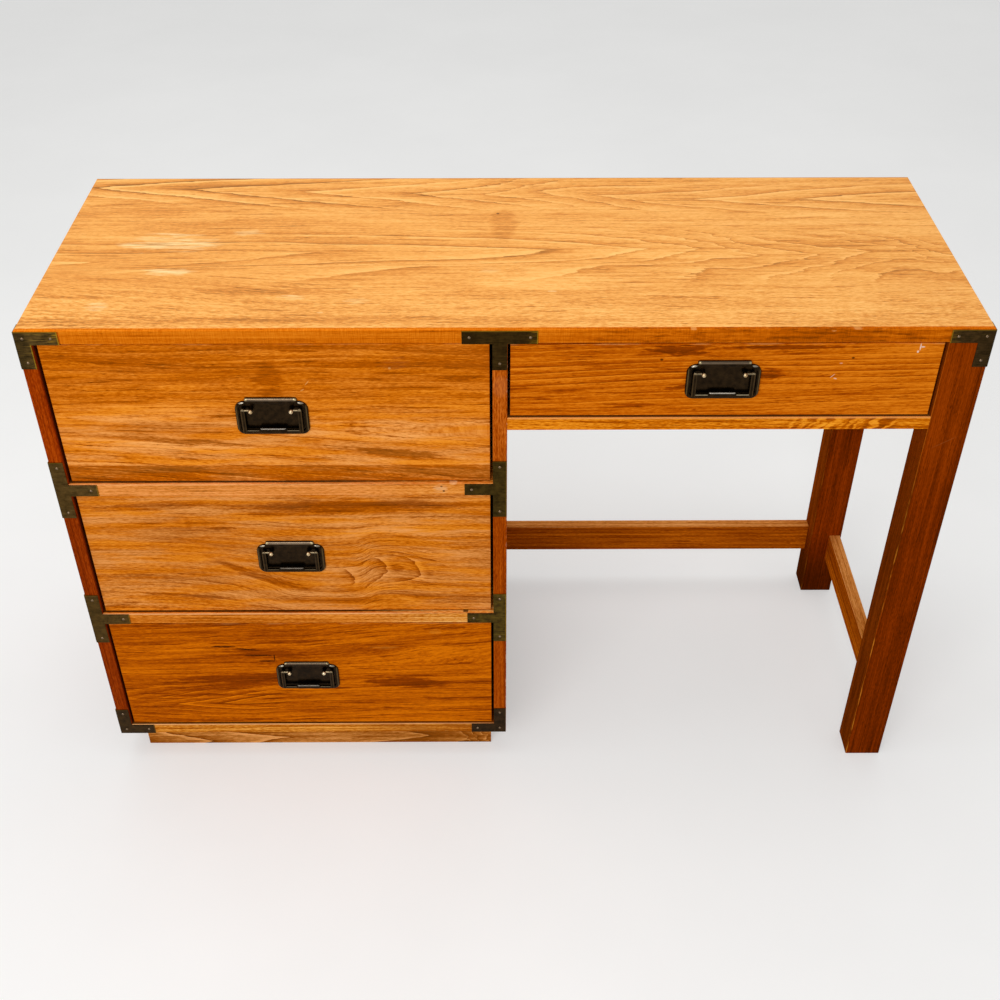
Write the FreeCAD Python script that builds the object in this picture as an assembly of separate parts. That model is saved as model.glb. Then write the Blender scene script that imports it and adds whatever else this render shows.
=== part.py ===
import FreeCAD, Part
import math
import os

# Campaign desk: a three-drawer pedestal on a recessed plinth, a knee drawer on two square
# legs with low stretchers, brass corner and tee straps, and four recessed bail pulls.
# Millimetres.  X runs left to right seen from the front, Y runs from the front to the
# back, Z is up.  The origin is on the floor, in the middle of everything the desk reaches.

V = FreeCAD.Vector

# ---- case ----
case_width = 1219.2            # outer face of the side to outer face of the legs
case_depth = 438.15            # front of the rails to the back of the legs
top_thickness = 19.05
side_thickness = 19.05
divider_thickness = 19.05
rail_height = 19.05            # every drawer rail, its runners and the pedestal bottom
rail_depth = 60.0              # front to back
back_thickness = 6.35
back_rebate = 9.0              # how far the back is let into the side and the divider
pedestal_opening_width = 574.5
drawer_opening = 222.25        # height between rails, three times
knee_opening = 114.3           # height of the knee drawer's opening
top_edging_depth = 6.35
stile_depth = 12.7             # solid strips on the front edges of side and divider
arris = 0.8                    # eased edges of boards

# ---- plinth ----
plinth_height = 57.15
plinth_board = 19.05
plinth_setback = 27.0          # behind the front, and ahead of the back
plinth_inset_left = 30.0
plinth_inset_right = 24.0

# ---- legs, aprons and stretchers ----
leg_width = 53.975
leg_depth = 47.6
leg_arris = 1.2
apron_thickness = 19.05
apron_setback = 2.4            # aprons and stretchers lie this far inside the legs' outer faces
stretcher_thickness = 19.05
stretcher_height = 53.975
stretcher_clearance = 79.375   # floor to the underside of the stretchers
tenon_length = 12.0            # stub tenons of stretchers, aprons and knee rail
tenon_shoulder = 4.8

# ---- runners and guides ----
runner_width = 28.0
cross_rail_depth = 50.0        # rear member of each drawer frame
side_guide_height = 18.0       # upstand that steers the knee drawer beside the legs
side_guide_gap = 0.6
guide_width = 19.0             # centre guide under each drawer
guide_height = 5.5
guide_play = 0.6               # sideways and upwards, between guide and channel
stop_gap = 0.3                 # drawer front to the end of its centre guide

# ---- drawers ----
front_thickness = 19.05
front_arris = 1.0
front_side_gap = 3.6
front_top_gap = 3.75
front_bottom_gap = 1.75
box_side_thickness = 12.7
box_back_thickness = 12.7
box_rear_gap = 17.25           # the deepest-set drawer's box to the pedestal back
box_top_drop = 12.0            # sides stop this far below the top of the front
back_inset = 12.0              # drawer back to the rear ends of the sides
back_housing = 5.0
running_gap = 0.3              # sides above their runners
panel_thickness = 4.8
panel_lift = 9.5               # underside of the panel above the underside of the sides
panel_groove = 5.5
panel_play = 0.3
channel_width = 44.0
tail_length = 12.7             # dovetails, lapped behind the face of the front
tail_slope = 1.0 / 6.0
pin_share = 0.36               # neck of a pin as a part of the dovetail pitch
tail_fit = 0.1

# ---- brass straps ----
strap_width = 18.6
strap_thickness = 1.2
strap_return = 19.0            # folded back round the outer side
strap_fold = 0.9               # outer radius of the fold
ell_length = 54.0
tee_bar = 95.25
tee_stem = 57.2
strap_drop = 1.0               # top straps lie this far under the desktop's surface
strap_slot = 2.0               # gap left in the edging beside the upper left strap
brad_end = 9.4                 # brads to the strap's ends
brad_shank = 0.8               # radii
brad_head = 1.9
brad_dome = 0.9
brad_length = 7.0
brad_fit = 0.05

# ---- pulls ----
plate_width = 95.25
plate_height = 57.15
plate_proud = 3.8
plate_floor = 1.2
top_bar_length = 68.5
top_bar_rise = 5.5
top_bar_corner = 3.2
top_bar_notch = 1.0            # rounding where the bar meets a shoulder
shoulder_radius = 12.3
foot_radius = 11.0
rim_side = 5.6
rim_foot = 5.0
rim_top = 8.0
dish_shoulder = 9.0
dish_foot = 6.5
rim_round = 2.6
rim_inner_round = 1.0
post_spacing = 52.4
post_height = 40.0             # above the plate's foot
post_neck = 2.7                # radii
post_collar = 3.9
collar_thickness = 0.9
post_ball = 3.2
ball_reach = 8.8               # centre of the ball in front of the drawer
post_shank = 2.0
post_fit = 0.1
nut_flats = 7.0
nut_thickness = 3.0
shank_spare = 1.5              # shank past the nut
pivot_reach = 6.0
bail_width = 79.5
bail_arm = 5.5
bail_depth = 3.6
bail_foot = 5.5                # above the plate's foot
bail_bar = 4.3
bail_eye = 2.5                 # arm above the pivot
grip_length = 36.0
grip_rise = 3.0
grip_swell = 0.9
bail_corner = 3.0              # outer lower corners
bail_elbow = 1.2               # inner lower corners
bail_eye_crown = 0.3           # flat left at the top of an arm's end
bail_arris = 0.63
grip_round = 0.9
grip_edge = 0.4                # the swell stops this far inside the grip
grip_end = 1.5
grip_shoulder = 0.8
bail_pin = 1.6                 # radius
pin_depth = 2.0                # into the post
pin_fit = 0.08
pin_end_gap = 0.2

# ---- drawers, one by one: how deep each sits and where its pull was fixed ----
top_drawer_inset = 5.5
middle_drawer_inset = 5.5
bottom_drawer_inset = 2.5
knee_drawer_inset = 3.5
middle_pull_drop = 2.4
bottom_pull_shift = 1.9
knee_pull_lift = 1.8
knee_pull_shift = -0.9
pedestal_tails = 5
knee_tails = 3

# ---- levels ----
bottom_top = plinth_height + rail_height
lower_rail_foot = bottom_top + drawer_opening
lower_rail_top = lower_rail_foot + rail_height
upper_rail_foot = lower_rail_top + drawer_opening
upper_rail_top = upper_rail_foot + rail_height
top_foot = upper_rail_top + drawer_opening
desk_height = top_foot + top_thickness
knee_rail_top = top_foot - knee_opening
knee_rail_foot = knee_rail_top - rail_height
stretcher_top = stretcher_clearance + stretcher_height

# ---- lines across ----
left = -case_width / 2
right = case_width / 2
side_inner = left + side_thickness
divider_left = side_inner + pedestal_opening_width
divider_right = divider_left + divider_thickness
leg_left = right - leg_width

# ---- lines from front to back ----
insets = (top_drawer_inset, middle_drawer_inset, bottom_drawer_inset, knee_drawer_inset)
pull_reach = ball_reach + post_ball - min(insets)
front = -(case_depth + pull_reach) / 2 + pull_reach
back = front + case_depth
rail_back = front + rail_depth
leg_back = front + leg_depth   # back of the front leg and of the knee rail
back_face = back - back_thickness
box_length = case_depth - back_thickness - box_rear_gap - front_thickness - max(insets)

X_AXIS = V(1, 0, 0)
Y_AXIS = V(0, 1, 0)
Z_AXIS = V(0, 0, 1)
nodes = {}


# ---------------------------------------------------------------- helpers
def box(x, y, z):
    """Block between two limits along each axis."""
    return Part.makeBox(x[1] - x[0], y[1] - y[0], z[1] - z[0], V(x[0], y[0], z[0]))


def prism(points, along):
    """Flat polygon carried along a vector."""
    return Part.Face(Part.makePolygon(points + points[:1])).extrude(along)


def joined(shapes):
    """One solid from pieces that meet, without seams."""
    return shapes[0].multiFuse(shapes[1:]).removeSplitter() if shapes[1:] else shapes[0]


def edges_along(shape, axis, keep=lambda point: True):
    """Straight edges parallel to an axis whose middle passes the test."""
    found = []
    for edge in shape.Edges:
        run = edge.Vertexes[-1].Point - edge.Vertexes[0].Point
        if run.Length > 1e-6 and abs(run.normalize().dot(axis)) > 0.9999:
            if keep(edge.CenterOfMass):
                found.append(edge)
    return found


def eased(shape, axis, radius, keep=lambda point: True):
    """Round the edges that run along an axis."""
    return shape.makeFillet(radius, edges_along(shape, axis, keep))


def with_tenons(board, run, hosts):
    """Stub tenon on each end of a board along X (0) or Y (1), let into the piece it meets."""
    limits = board.BoundBox
    low = (limits.XMin, limits.YMin, limits.ZMin)
    high = (limits.XMax, limits.YMax, limits.ZMax)
    ends = ((low[run] - tenon_length, low[run]), (high[run], high[run] + tenon_length))
    for end, mortised in zip(ends, hosts):
        spans = [(a + tenon_shoulder, b - tenon_shoulder) for a, b in zip(low, high)]
        spans[run] = end
        tenon = box(*spans)
        board = joined([board, tenon])
        for host in mortised:
            nodes[host] = nodes[host].cut(tenon)
    return board


def rounded_wire(corners, place):
    """Closed outline through (u, v, radius) corners, each turned by a tangent arc."""
    turns = []
    for index, (u, v, radius) in enumerate(corners):
        here = V(u, v, 0)
        before = (V(*corners[index - 1][:2], 0) - here).normalize()
        after = (V(*corners[(index + 1) % len(corners)][:2], 0) - here).normalize()
        half = before.getAngle(after) / 2
        middle = (before + after).normalize()
        reach = radius / math.tan(half)
        centre = here + middle * (radius / math.sin(half))
        turns.append((here + before * reach, centre - middle * radius, here + after * reach))
    edges = []
    for index, (start, crown, end) in enumerate(turns):
        last = turns[index - 1][2]
        if (start - last).Length > 1e-6:
            edges.append(Part.LineSegment(place(last), place(start)).toShape())
        edges.append(Part.Arc(place(start), place(crown), place(end)).toShape())
    return Part.Wire(edges)


def turned(outline, foot, axis):
    """Solid of revolution from a closed (radius, height) wire standing on foot."""
    return Part.Face(outline).revolve(foot, axis, 360)


# ---------------------------------------------------------------- brass straps
def ell_points():
    a, s = ell_length, strap_width
    return [(0, 0), (a, 0), (a, s), (s, s), (s, a), (0, a)]


def tee_points():
    h, s, stem = tee_bar / 2, strap_width, tee_stem
    return [(-h, 0), (h, 0), (h, s), (s / 2, s), (s / 2, stem), (-s / 2, stem), (-s / 2, s), (-h, s)]


def ell_brads():
    middle = strap_width / 2
    far = ell_length - brad_end
    return [(middle, middle), (far, middle), (middle, far)]


def tee_brads():
    middle = strap_width / 2
    return [(brad_end - tee_bar / 2, middle), (tee_bar / 2 - brad_end, middle), (0, tee_stem - brad_end)]


def strap_table():
    """Each strap: its points, its brads, and a map from its own axes to (x, z)."""
    ell = (ell_points(), ell_brads())
    tee = (tee_points(), tee_brads())
    high = desk_height - strap_drop
    straps = {
        "top_left_bracket": ell + (lambda a, b: (left + a, high - b),),
        "top_right_bracket": ell + (lambda a, b: (right - a, high - b),),
        "top_centre_bracket": tee + (lambda a, b: (divider_left + strap_width / 2 + a, high - b),),
        "bottom_left_bracket": ell + (lambda a, b: (left + a, plinth_height + b),),
        "bottom_centre_bracket": ell + (
            lambda a, b: (divider_left + strap_width - a, plinth_height + b),
        ),
    }
    for name, foot in (("upper", upper_rail_foot), ("lower", lower_rail_foot)):
        middle = foot + rail_height / 2
        straps[name + "_left_bracket"] = tee + (
            lambda a, b, middle=middle: (left + b, middle + a),
        )
        straps[name + "_centre_bracket"] = tee + (
            lambda a, b, middle=middle: (divider_left + strap_width - b, middle + a),
        )
    return straps


def brad_places():
    """Where every brad enters the front, as (x, z)."""
    return [to_case(a, b) for _, brads, to_case in strap_table().values() for a, b in brads]


def brad(x, z, shank, head, dome):
    """Round shank along Y with a domed head on the strap's face."""
    face = front - strap_thickness
    tip = face + brad_length

    def at(radius, y):
        return V(x + radius, y, z)

    crown = (head * head + dome * dome) / (2 * dome)
    bow = math.asin(head / crown) / 2
    outline = Part.Wire([
        Part.LineSegment(at(0, face - dome), at(0, tip)).toShape(),
        Part.LineSegment(at(0, tip), at(shank, tip)).toShape(),
        Part.LineSegment(at(shank, tip), at(shank, face)).toShape(),
        Part.LineSegment(at(shank, face), at(head, face)).toShape(),
        Part.Arc(
            at(head, face),
            at(crown * math.sin(bow), face - dome + crown * (1 - math.cos(bow))),
            at(0, face - dome),
        ).toShape(),
    ])
    return turned(outline, V(x, 0, z), Y_AXIS)


def drilled_for_brads(shape):
    """Cut the brad holes that reach into a piece behind the straps."""
    limits = shape.BoundBox
    start = front - strap_thickness - brad_dome
    for x, z in brad_places():
        if limits.XMin < x < limits.XMax and limits.ZMin < z < limits.ZMax:
            length = brad_dome + brad_length + brad_fit
            hole = Part.makeCylinder(brad_shank + brad_fit, length, V(x, start, z), Y_AXIS)
            shape = shape.cut(hole)
    return shape


def strap(points, to_case):
    """Flat strap on the front, folded round the outer side where it reaches that far."""
    flat = [V(x, front, z) for x, z in (to_case(a, b) for a, b in points)]
    pieces = [prism(flat, V(0, -strap_thickness, 0))]
    heights = (min(p.z for p in flat), max(p.z for p in flat))
    for edge, outward in ((left, -1), (right, 1)):
        if any(abs(p.x - edge) < 1e-6 for p in flat):
            across = sorted((edge, edge + outward * strap_thickness))
            pieces.append(box(across, (front - strap_thickness, front + strap_return), heights))
            whole = joined(pieces)
            pieces = [eased(whole, Z_AXIS, strap_fold, lambda point: (
                abs(point.x - edge - outward * strap_thickness) < 1e-6
                and abs(point.y - front + strap_thickness) < 1e-6
            ))]
    return drilled_for_brads(pieces[0])


def build_straps():
    for name, (points, _, to_case) in strap_table().items():
        nodes[name] = strap(points, to_case)
    brads = [brad(x, z, brad_shank, brad_head, brad_dome) for x, z in brad_places()]
    nodes["bracket_brads"] = Part.makeCompound(brads)


# ---------------------------------------------------------------- case
def board_along_x(x, y, z, radius=arris, keep=lambda point: True):
    return eased(box(x, y, z), X_AXIS, radius, keep)


def build_top():
    slab_front = front + top_edging_depth
    slab = box((left, right), (slab_front, back), (top_foot, desk_height))
    behind = [edge for axis in (X_AXIS, Y_AXIS, Z_AXIS)
              for edge in edges_along(slab, axis, lambda point: point.y > slab_front + arris)]
    nodes["desk_top"] = slab.makeFillet(arris, behind)
    edging = box((left, right), (front, slab_front), (top_foot, desk_height))
    edging = eased(edging, X_AXIS, arris, lambda point: point.y < front + arris)
    slot_start = left + ell_length
    slot = box(
        (slot_start, slot_start + strap_slot),
        (front, front + strap_thickness),
        (top_foot, desk_height - strap_drop),
    )
    nodes["top_front_edging"] = drilled_for_brads(edging.cut(slot))


def upright(x, inner):
    """Side or divider: a board behind its stile, rebated at the back for the back panel."""
    board = box(x, (front + stile_depth, back), (plinth_height, top_foot))
    board = eased(board, Z_AXIS, arris, lambda point: point.y > back - arris)
    rebate = sorted((inner, inner + math.copysign(back_rebate, sum(x) / 2 - inner)))
    return board.cut(box(rebate, (back_face, back), (plinth_height, top_foot)))


def build_case():
    nodes["side_panel"] = upright((left, side_inner), side_inner)
    nodes["centre_divider"] = upright((divider_left, divider_right), divider_left)
    stiles = []
    for x in ((left, side_inner), (divider_left, divider_right)):
        stile = box(x, (front, front + stile_depth), (plinth_height, top_foot))
        stile = eased(stile, Z_AXIS, arris, lambda point: point.y < front + arris)
        stiles.append(drilled_for_brads(stile))
    nodes["front_stiles"] = Part.makeCompound(stiles)
    nodes["pedestal_back"] = box(
        (side_inner - back_rebate, divider_left + back_rebate),
        (back_face, back),
        (plinth_height, top_foot),
    )
    inside = (side_inner, divider_left)
    nodes["pedestal_bottom"] = box(inside, (rail_back, back_face), (plinth_height, bottom_top))
    for name, foot in (
        ("bottom_rail", plinth_height),
        ("lower_rail", lower_rail_foot),
        ("upper_rail", upper_rail_foot),
    ):
        rail = board_along_x(inside, (front, rail_back), (foot, foot + rail_height),
                             keep=lambda point: point.y < front + arris)
        nodes[name] = drilled_for_brads(rail)


def build_drawer_frames():
    """Side runners and rear cross rails behind the two pedestal rails, and the guides."""
    pieces = []
    for foot in (upper_rail_foot, lower_rail_foot):
        height = (foot, foot + rail_height)
        inner_left = side_inner + runner_width
        inner_right = divider_left - runner_width
        pieces.append(box((side_inner, inner_left), (rail_back, back_face), height))
        pieces.append(box((inner_right, divider_left), (rail_back, back_face), height))
        pieces.append(box((inner_left, inner_right), (back_face - cross_rail_depth, back_face), height))
    nodes["pedestal_runners"] = Part.makeCompound(pieces)


def build_knee_frame():
    opening = (divider_right, leg_left)
    level = (knee_rail_foot, knee_rail_top)
    rail = eased(box(opening, (front, leg_back), level), X_AXIS, arris)
    nodes["knee_rail"] = with_tenons(rail, 0, (("centre_divider", "front_stiles"), ("front_leg",)))
    apron_back = back - apron_setback
    apron_front = apron_back - apron_thickness
    apron = board_along_x(
        opening, (apron_front, apron_back), (knee_rail_foot, top_foot),
        keep=lambda point: point.z < knee_rail_foot + arris,
    )
    nodes["back_apron"] = with_tenons(apron, 0, (("centre_divider",), ("back_leg",)))
    side_outer = right - apron_setback
    side_face = side_outer - apron_thickness
    between_legs = (leg_back, back - leg_depth)
    apron = box((side_face, side_outer), between_legs, (knee_rail_foot, top_foot))
    apron = eased(apron, Y_AXIS, arris, lambda point: point.z < knee_rail_foot + arris)
    nodes["side_apron"] = with_tenons(apron, 1, (("front_leg",), ("back_leg",)))
    left_runner = box((divider_right, divider_right + runner_width), (leg_back, apron_front), level)
    right_runner = joined([
        box((leg_left - runner_width, leg_left), (leg_back, apron_front), level),
        box((leg_left, side_face), between_legs, level),
        box(
            (leg_left + side_guide_gap, side_face),
            between_legs,
            (knee_rail_top, knee_rail_top + side_guide_height),
        ),
    ])
    nodes["knee_runners"] = Part.makeCompound([left_runner, right_runner])


def build_legs():
    for name, y in (("front_leg", (front, leg_back)), ("back_leg", (back - leg_depth, back))):
        leg = box((leg_left, right), y, (0, top_foot))
        leg = eased(leg, Z_AXIS, leg_arris)
        foot = [edge for edge in leg.Edges if edge.CenterOfMass.z < leg_arris / 2]
        nodes[name] = leg.makeChamfer(leg_arris / 2, foot)
    nodes["front_leg"] = drilled_for_brads(nodes["front_leg"])
    height = (stretcher_clearance, stretcher_top)
    outer = back - apron_setback
    stretcher = box((divider_right, leg_left), (outer - stretcher_thickness, outer), height)
    stretcher = eased(stretcher, X_AXIS, leg_arris)
    nodes["back_stretcher"] = with_tenons(stretcher, 0, (("centre_divider",), ("back_leg",)))
    outer = right - apron_setback
    between_legs = (leg_back, back - leg_depth)
    stretcher = box((outer - stretcher_thickness, outer), between_legs, height)
    stretcher = eased(stretcher, Y_AXIS, leg_arris)
    nodes["side_stretcher"] = with_tenons(stretcher, 1, (("front_leg",), ("back_leg",)))


def build_plinth():
    outer_left = left + plinth_inset_left
    outer_right = divider_right - plinth_inset_right
    near = front + plinth_setback
    far = back - plinth_setback
    height = (0, plinth_height)
    nodes["plinth_front"] = board_along_x(
        (outer_left, outer_right), (near, near + plinth_board), height,
        keep=lambda point: point.z < arris,
    )
    side_run = (near + plinth_board, far - plinth_board)
    nodes["plinth_frame"] = Part.makeCompound([
        box((outer_left, outer_left + plinth_board), side_run, height),
        box((outer_right - plinth_board, outer_right), side_run, height),
        box((outer_left, outer_right), (far - plinth_board, far), height),
    ])


# ---------------------------------------------------------------- drawers
class Drawer:
    """Where one drawer sits: its opening, how deep its front lies, and its pull."""

    def __init__(self, name, across, floor, opening, inset, tails, shift=0.0, lift=0.0):
        self.name = name
        self.across = (across[0] + front_side_gap, across[1] - front_side_gap)
        self.middle = (across[0] + across[1]) / 2
        self.floor = floor
        self.face = front + inset
        self.inner_face = self.face + front_thickness
        self.rear = self.inner_face + box_length
        self.height = (floor + front_bottom_gap, floor + opening - front_top_gap)
        self.tails = tails
        self.side_height = (floor + running_gap, self.height[1] - box_top_drop)
        self.panel_foot = self.side_height[0] + panel_lift
        self.panel_top = self.panel_foot + panel_thickness
        self.pull_x = self.middle + shift
        self.pull_foot = sum(self.height) / 2 + lift - plate_height / 2

    def at(self, u, v, w):
        """Point of the pull: across, above the plate's foot, and out from the front."""
        return V(self.pull_x + u, self.face - w, self.pull_foot + v)


def all_drawers():
    pedestal = (side_inner, divider_left)
    knee = (divider_right, leg_left)
    return [
        Drawer("top_drawer", pedestal, upper_rail_top, drawer_opening, top_drawer_inset,
               pedestal_tails),
        Drawer("middle_drawer", pedestal, lower_rail_top, drawer_opening, middle_drawer_inset,
               pedestal_tails, lift=-middle_pull_drop),
        Drawer("bottom_drawer", pedestal, bottom_top, drawer_opening, bottom_drawer_inset,
               pedestal_tails, shift=bottom_pull_shift),
        Drawer("knee_drawer", knee, knee_rail_top, knee_opening, knee_drawer_inset,
               knee_tails, shift=knee_pull_shift, lift=knee_pull_lift),
    ]


def tail_prisms(drawer, x, spare):
    """Dovetails of one side: flared prisms from the back of the front towards its face."""
    low = max(drawer.side_height[0], drawer.height[0])
    pitch = (drawer.side_height[1] - low) / drawer.tails
    root = drawer.inner_face
    tip = root - tail_length
    neck = pitch * (1 - pin_share) / 2 - tail_length * tail_slope
    tails = []
    for index in range(drawer.tails):
        middle = low + pitch * (index + 0.5)
        narrow = neck + spare
        wide = neck + tail_length * tail_slope + spare
        tails.append(prism([
            V(x[0], root, middle - narrow),
            V(x[0], tip - spare, middle - wide),
            V(x[0], tip - spare, middle + wide),
            V(x[0], root, middle + narrow),
        ], V(x[1] - x[0], 0, 0)))
    return tails


def drawer_front(drawer):
    """Front board: eased face, sockets for the tails, groove for the panel, post holes."""
    board = box(drawer.across, (drawer.face, drawer.inner_face), drawer.height)
    rim = [edge for axis in (X_AXIS, Z_AXIS)
           for edge in edges_along(board, axis, lambda point: point.y < drawer.face + front_arris)]
    board = board.makeFillet(front_arris, rim)
    for x in side_limits(drawer):
        board = board.cut(Part.makeCompound(tail_prisms(drawer, x, tail_fit)))
    edge = box_side_thickness - panel_groove - panel_play
    groove = box(
        (drawer.across[0] + edge, drawer.across[1] - edge),
        (drawer.inner_face - panel_groove - panel_play, drawer.inner_face),
        (drawer.panel_foot - panel_play / 2, drawer.panel_top + panel_play / 2),
    )
    board = board.cut(groove)
    for side in (-1, 1):
        start = drawer.at(side * post_spacing / 2, post_height, 0)
        board = board.cut(Part.makeCylinder(post_shank + post_fit, front_thickness, start, Y_AXIS))
    return board


def side_limits(drawer):
    low, high = drawer.across
    return (low, low + box_side_thickness), (high - box_side_thickness, high)


def drawer_sides(drawer):
    """Two sides with dovetails in front, a groove for the panel and a housing for the back."""
    sides = []
    back_y = drawer.rear - back_inset
    for x, inward in zip(side_limits(drawer), (1, -1)):
        inner = x[1] if inward > 0 else x[0]
        board = box(x, (drawer.inner_face, drawer.rear), drawer.side_height)
        board = eased(board, Y_AXIS, arris, lambda point: point.z > drawer.side_height[0] + arris)
        board = joined([board] + tail_prisms(drawer, x, 0.0))
        groove = sorted((inner, inner - inward * (panel_groove + panel_play)))
        board = board.cut(box(
            groove,
            (drawer.inner_face - tail_length, drawer.rear),
            (drawer.panel_foot - panel_play / 2, drawer.panel_top + panel_play / 2),
        ))
        housing = sorted((inner, inner - inward * back_housing))
        sides.append(board.cut(box(
            housing,
            (back_y - box_back_thickness, back_y),
            (drawer.panel_top, drawer.side_height[1]),
        )))
    return Part.makeCompound(sides)


def drawer_back(drawer):
    back_y = drawer.rear - back_inset
    low, high = drawer.across
    reach = box_side_thickness - back_housing
    return box(
        (low + reach, high - reach),
        (back_y - box_back_thickness, back_y),
        (drawer.panel_top + panel_play / 2, drawer.side_height[1]),
    )


def drawer_bottom(drawer):
    """Thin panel in its grooves, with the grooved channel that rides on the centre guide."""
    low, high = drawer.across
    reach = box_side_thickness - panel_groove
    panel = box(
        (low + reach, high - reach),
        (drawer.inner_face - panel_groove, drawer.rear),
        (drawer.panel_foot, drawer.panel_top),
    )
    half = channel_width / 2
    under = drawer.floor + running_gap
    channel = box(
        (drawer.middle - half, drawer.middle + half),
        (drawer.inner_face, drawer.rear),
        (under, drawer.panel_foot),
    )
    slot = guide_width / 2 + guide_play
    channel = channel.cut(box(
        (drawer.middle - slot, drawer.middle + slot),
        (drawer.inner_face, drawer.rear),
        (under, drawer.floor + guide_height + guide_play),
    ))
    return Part.makeCompound([panel, channel])


def centre_guide(drawer):
    """Strip that steers a drawer; its front end stops the drawer front."""
    half = guide_width / 2
    end = back_face if drawer.across[1] < divider_right else back - apron_setback - apron_thickness
    return box(
        (drawer.middle - half, drawer.middle + half),
        (drawer.inner_face + stop_gap, end),
        (drawer.floor, drawer.floor + guide_height),
    )


# ---------------------------------------------------------------- pulls
def pull_plate(drawer):
    """Shaped plate: straight top bar between round shoulders, a rounded rim and a sunk dish."""
    half = plate_width / 2
    shoulder = plate_height - top_bar_rise
    bar = top_bar_length / 2
    outline = [
        (-half, 0, foot_radius),
        (half, 0, foot_radius),
        (half, shoulder, shoulder_radius),
        (bar, shoulder, top_bar_notch),
        (bar, plate_height, top_bar_corner),
        (-bar, plate_height, top_bar_corner),
        (-bar, shoulder, top_bar_notch),
        (-half, shoulder, shoulder_radius),
    ]
    body = Part.Face(rounded_wire(outline, lambda point: drawer.at(point.x, point.y, 0)))
    body = body.extrude(V(0, -plate_proud, 0))
    crest = [edge for edge in body.Edges
             if all(abs(p.Point.y - drawer.face + plate_proud) < 1e-6 for p in edge.Vertexes)]
    body = body.makeFillet(rim_round, crest)
    side = half - rim_side
    dish = [
        (-side, rim_foot, dish_foot),
        (side, rim_foot, dish_foot),
        (side, plate_height - rim_top, dish_shoulder),
        (-side, plate_height - rim_top, dish_shoulder),
    ]
    pocket = Part.Face(rounded_wire(dish, lambda point: drawer.at(point.x, point.y, plate_floor)))
    body = body.cut(pocket.extrude(V(0, -plate_proud, 0)))
    lip = [edge for edge in body.Edges
           if all(abs(p.Point.y - drawer.face + plate_proud) < 1e-6 for p in edge.Vertexes)
           and abs(edge.BoundBox.XMin - drawer.pull_x) < side + 1e-3
           and abs(edge.BoundBox.XMax - drawer.pull_x) < side + 1e-3
           and edge.BoundBox.ZMin > drawer.pull_foot + rim_foot - 1e-3
           and edge.BoundBox.ZMax < drawer.pull_foot + plate_height - rim_top + 1e-3]
    body = body.makeFillet(rim_inner_round, lip)
    for sign in (-1, 1):
        start = drawer.at(sign * post_spacing / 2, post_height, plate_floor)
        body = body.cut(Part.makeCylinder(post_shank + post_fit, plate_floor, start, Y_AXIS))
    return body


def pull_post(drawer, sign):
    """Ball-headed post on a collar, with a shank through the drawer front."""
    u = sign * post_spacing / 2
    seat = plate_floor
    tip = -(front_thickness + nut_thickness + shank_spare)
    joint = ball_reach - math.sqrt(post_ball ** 2 - post_neck ** 2)
    bow = (math.pi - math.asin(post_neck / post_ball)) / 2

    def at(radius, w):
        return drawer.at(u + radius, post_height, w)

    crown = at(post_ball * math.sin(bow), ball_reach + post_ball * math.cos(bow))
    corners = [
        at(0, ball_reach + post_ball), at(0, tip), at(post_shank, tip), at(post_shank, seat),
        at(post_collar, seat), at(post_collar, seat + collar_thickness),
        at(post_neck, seat + collar_thickness), at(post_neck, joint),
    ]
    edges = [Part.LineSegment(a, b).toShape() for a, b in zip(corners, corners[1:])]
    edges.append(Part.Arc(corners[-1], crown, corners[0]).toShape())
    post = turned(Part.Wire(edges), at(0, 0), Y_AXIS)
    mouth = drawer.at(u + sign * (post_neck - pin_depth), post_height, pivot_reach)
    hole = Part.makeCylinder(bail_pin + pin_fit, pin_depth + post_ball, mouth, V(sign, 0, 0))
    return post.cut(hole)


def post_nut(drawer, sign):
    """Hexagon nut on the shank, against the inside of the drawer front."""
    across = nut_flats / math.sqrt(3)
    u = sign * post_spacing / 2
    points = [
        drawer.at(u + across * math.cos(math.radians(60 * k)),
                  post_height + across * math.sin(math.radians(60 * k)), -front_thickness)
        for k in range(6)
    ]
    nut = prism(points, V(0, nut_thickness, 0))
    start = drawer.at(u, post_height, -front_thickness)
    return nut.cut(Part.makeCylinder(post_shank + post_fit, nut_thickness, start, Y_AXIS))


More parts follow.
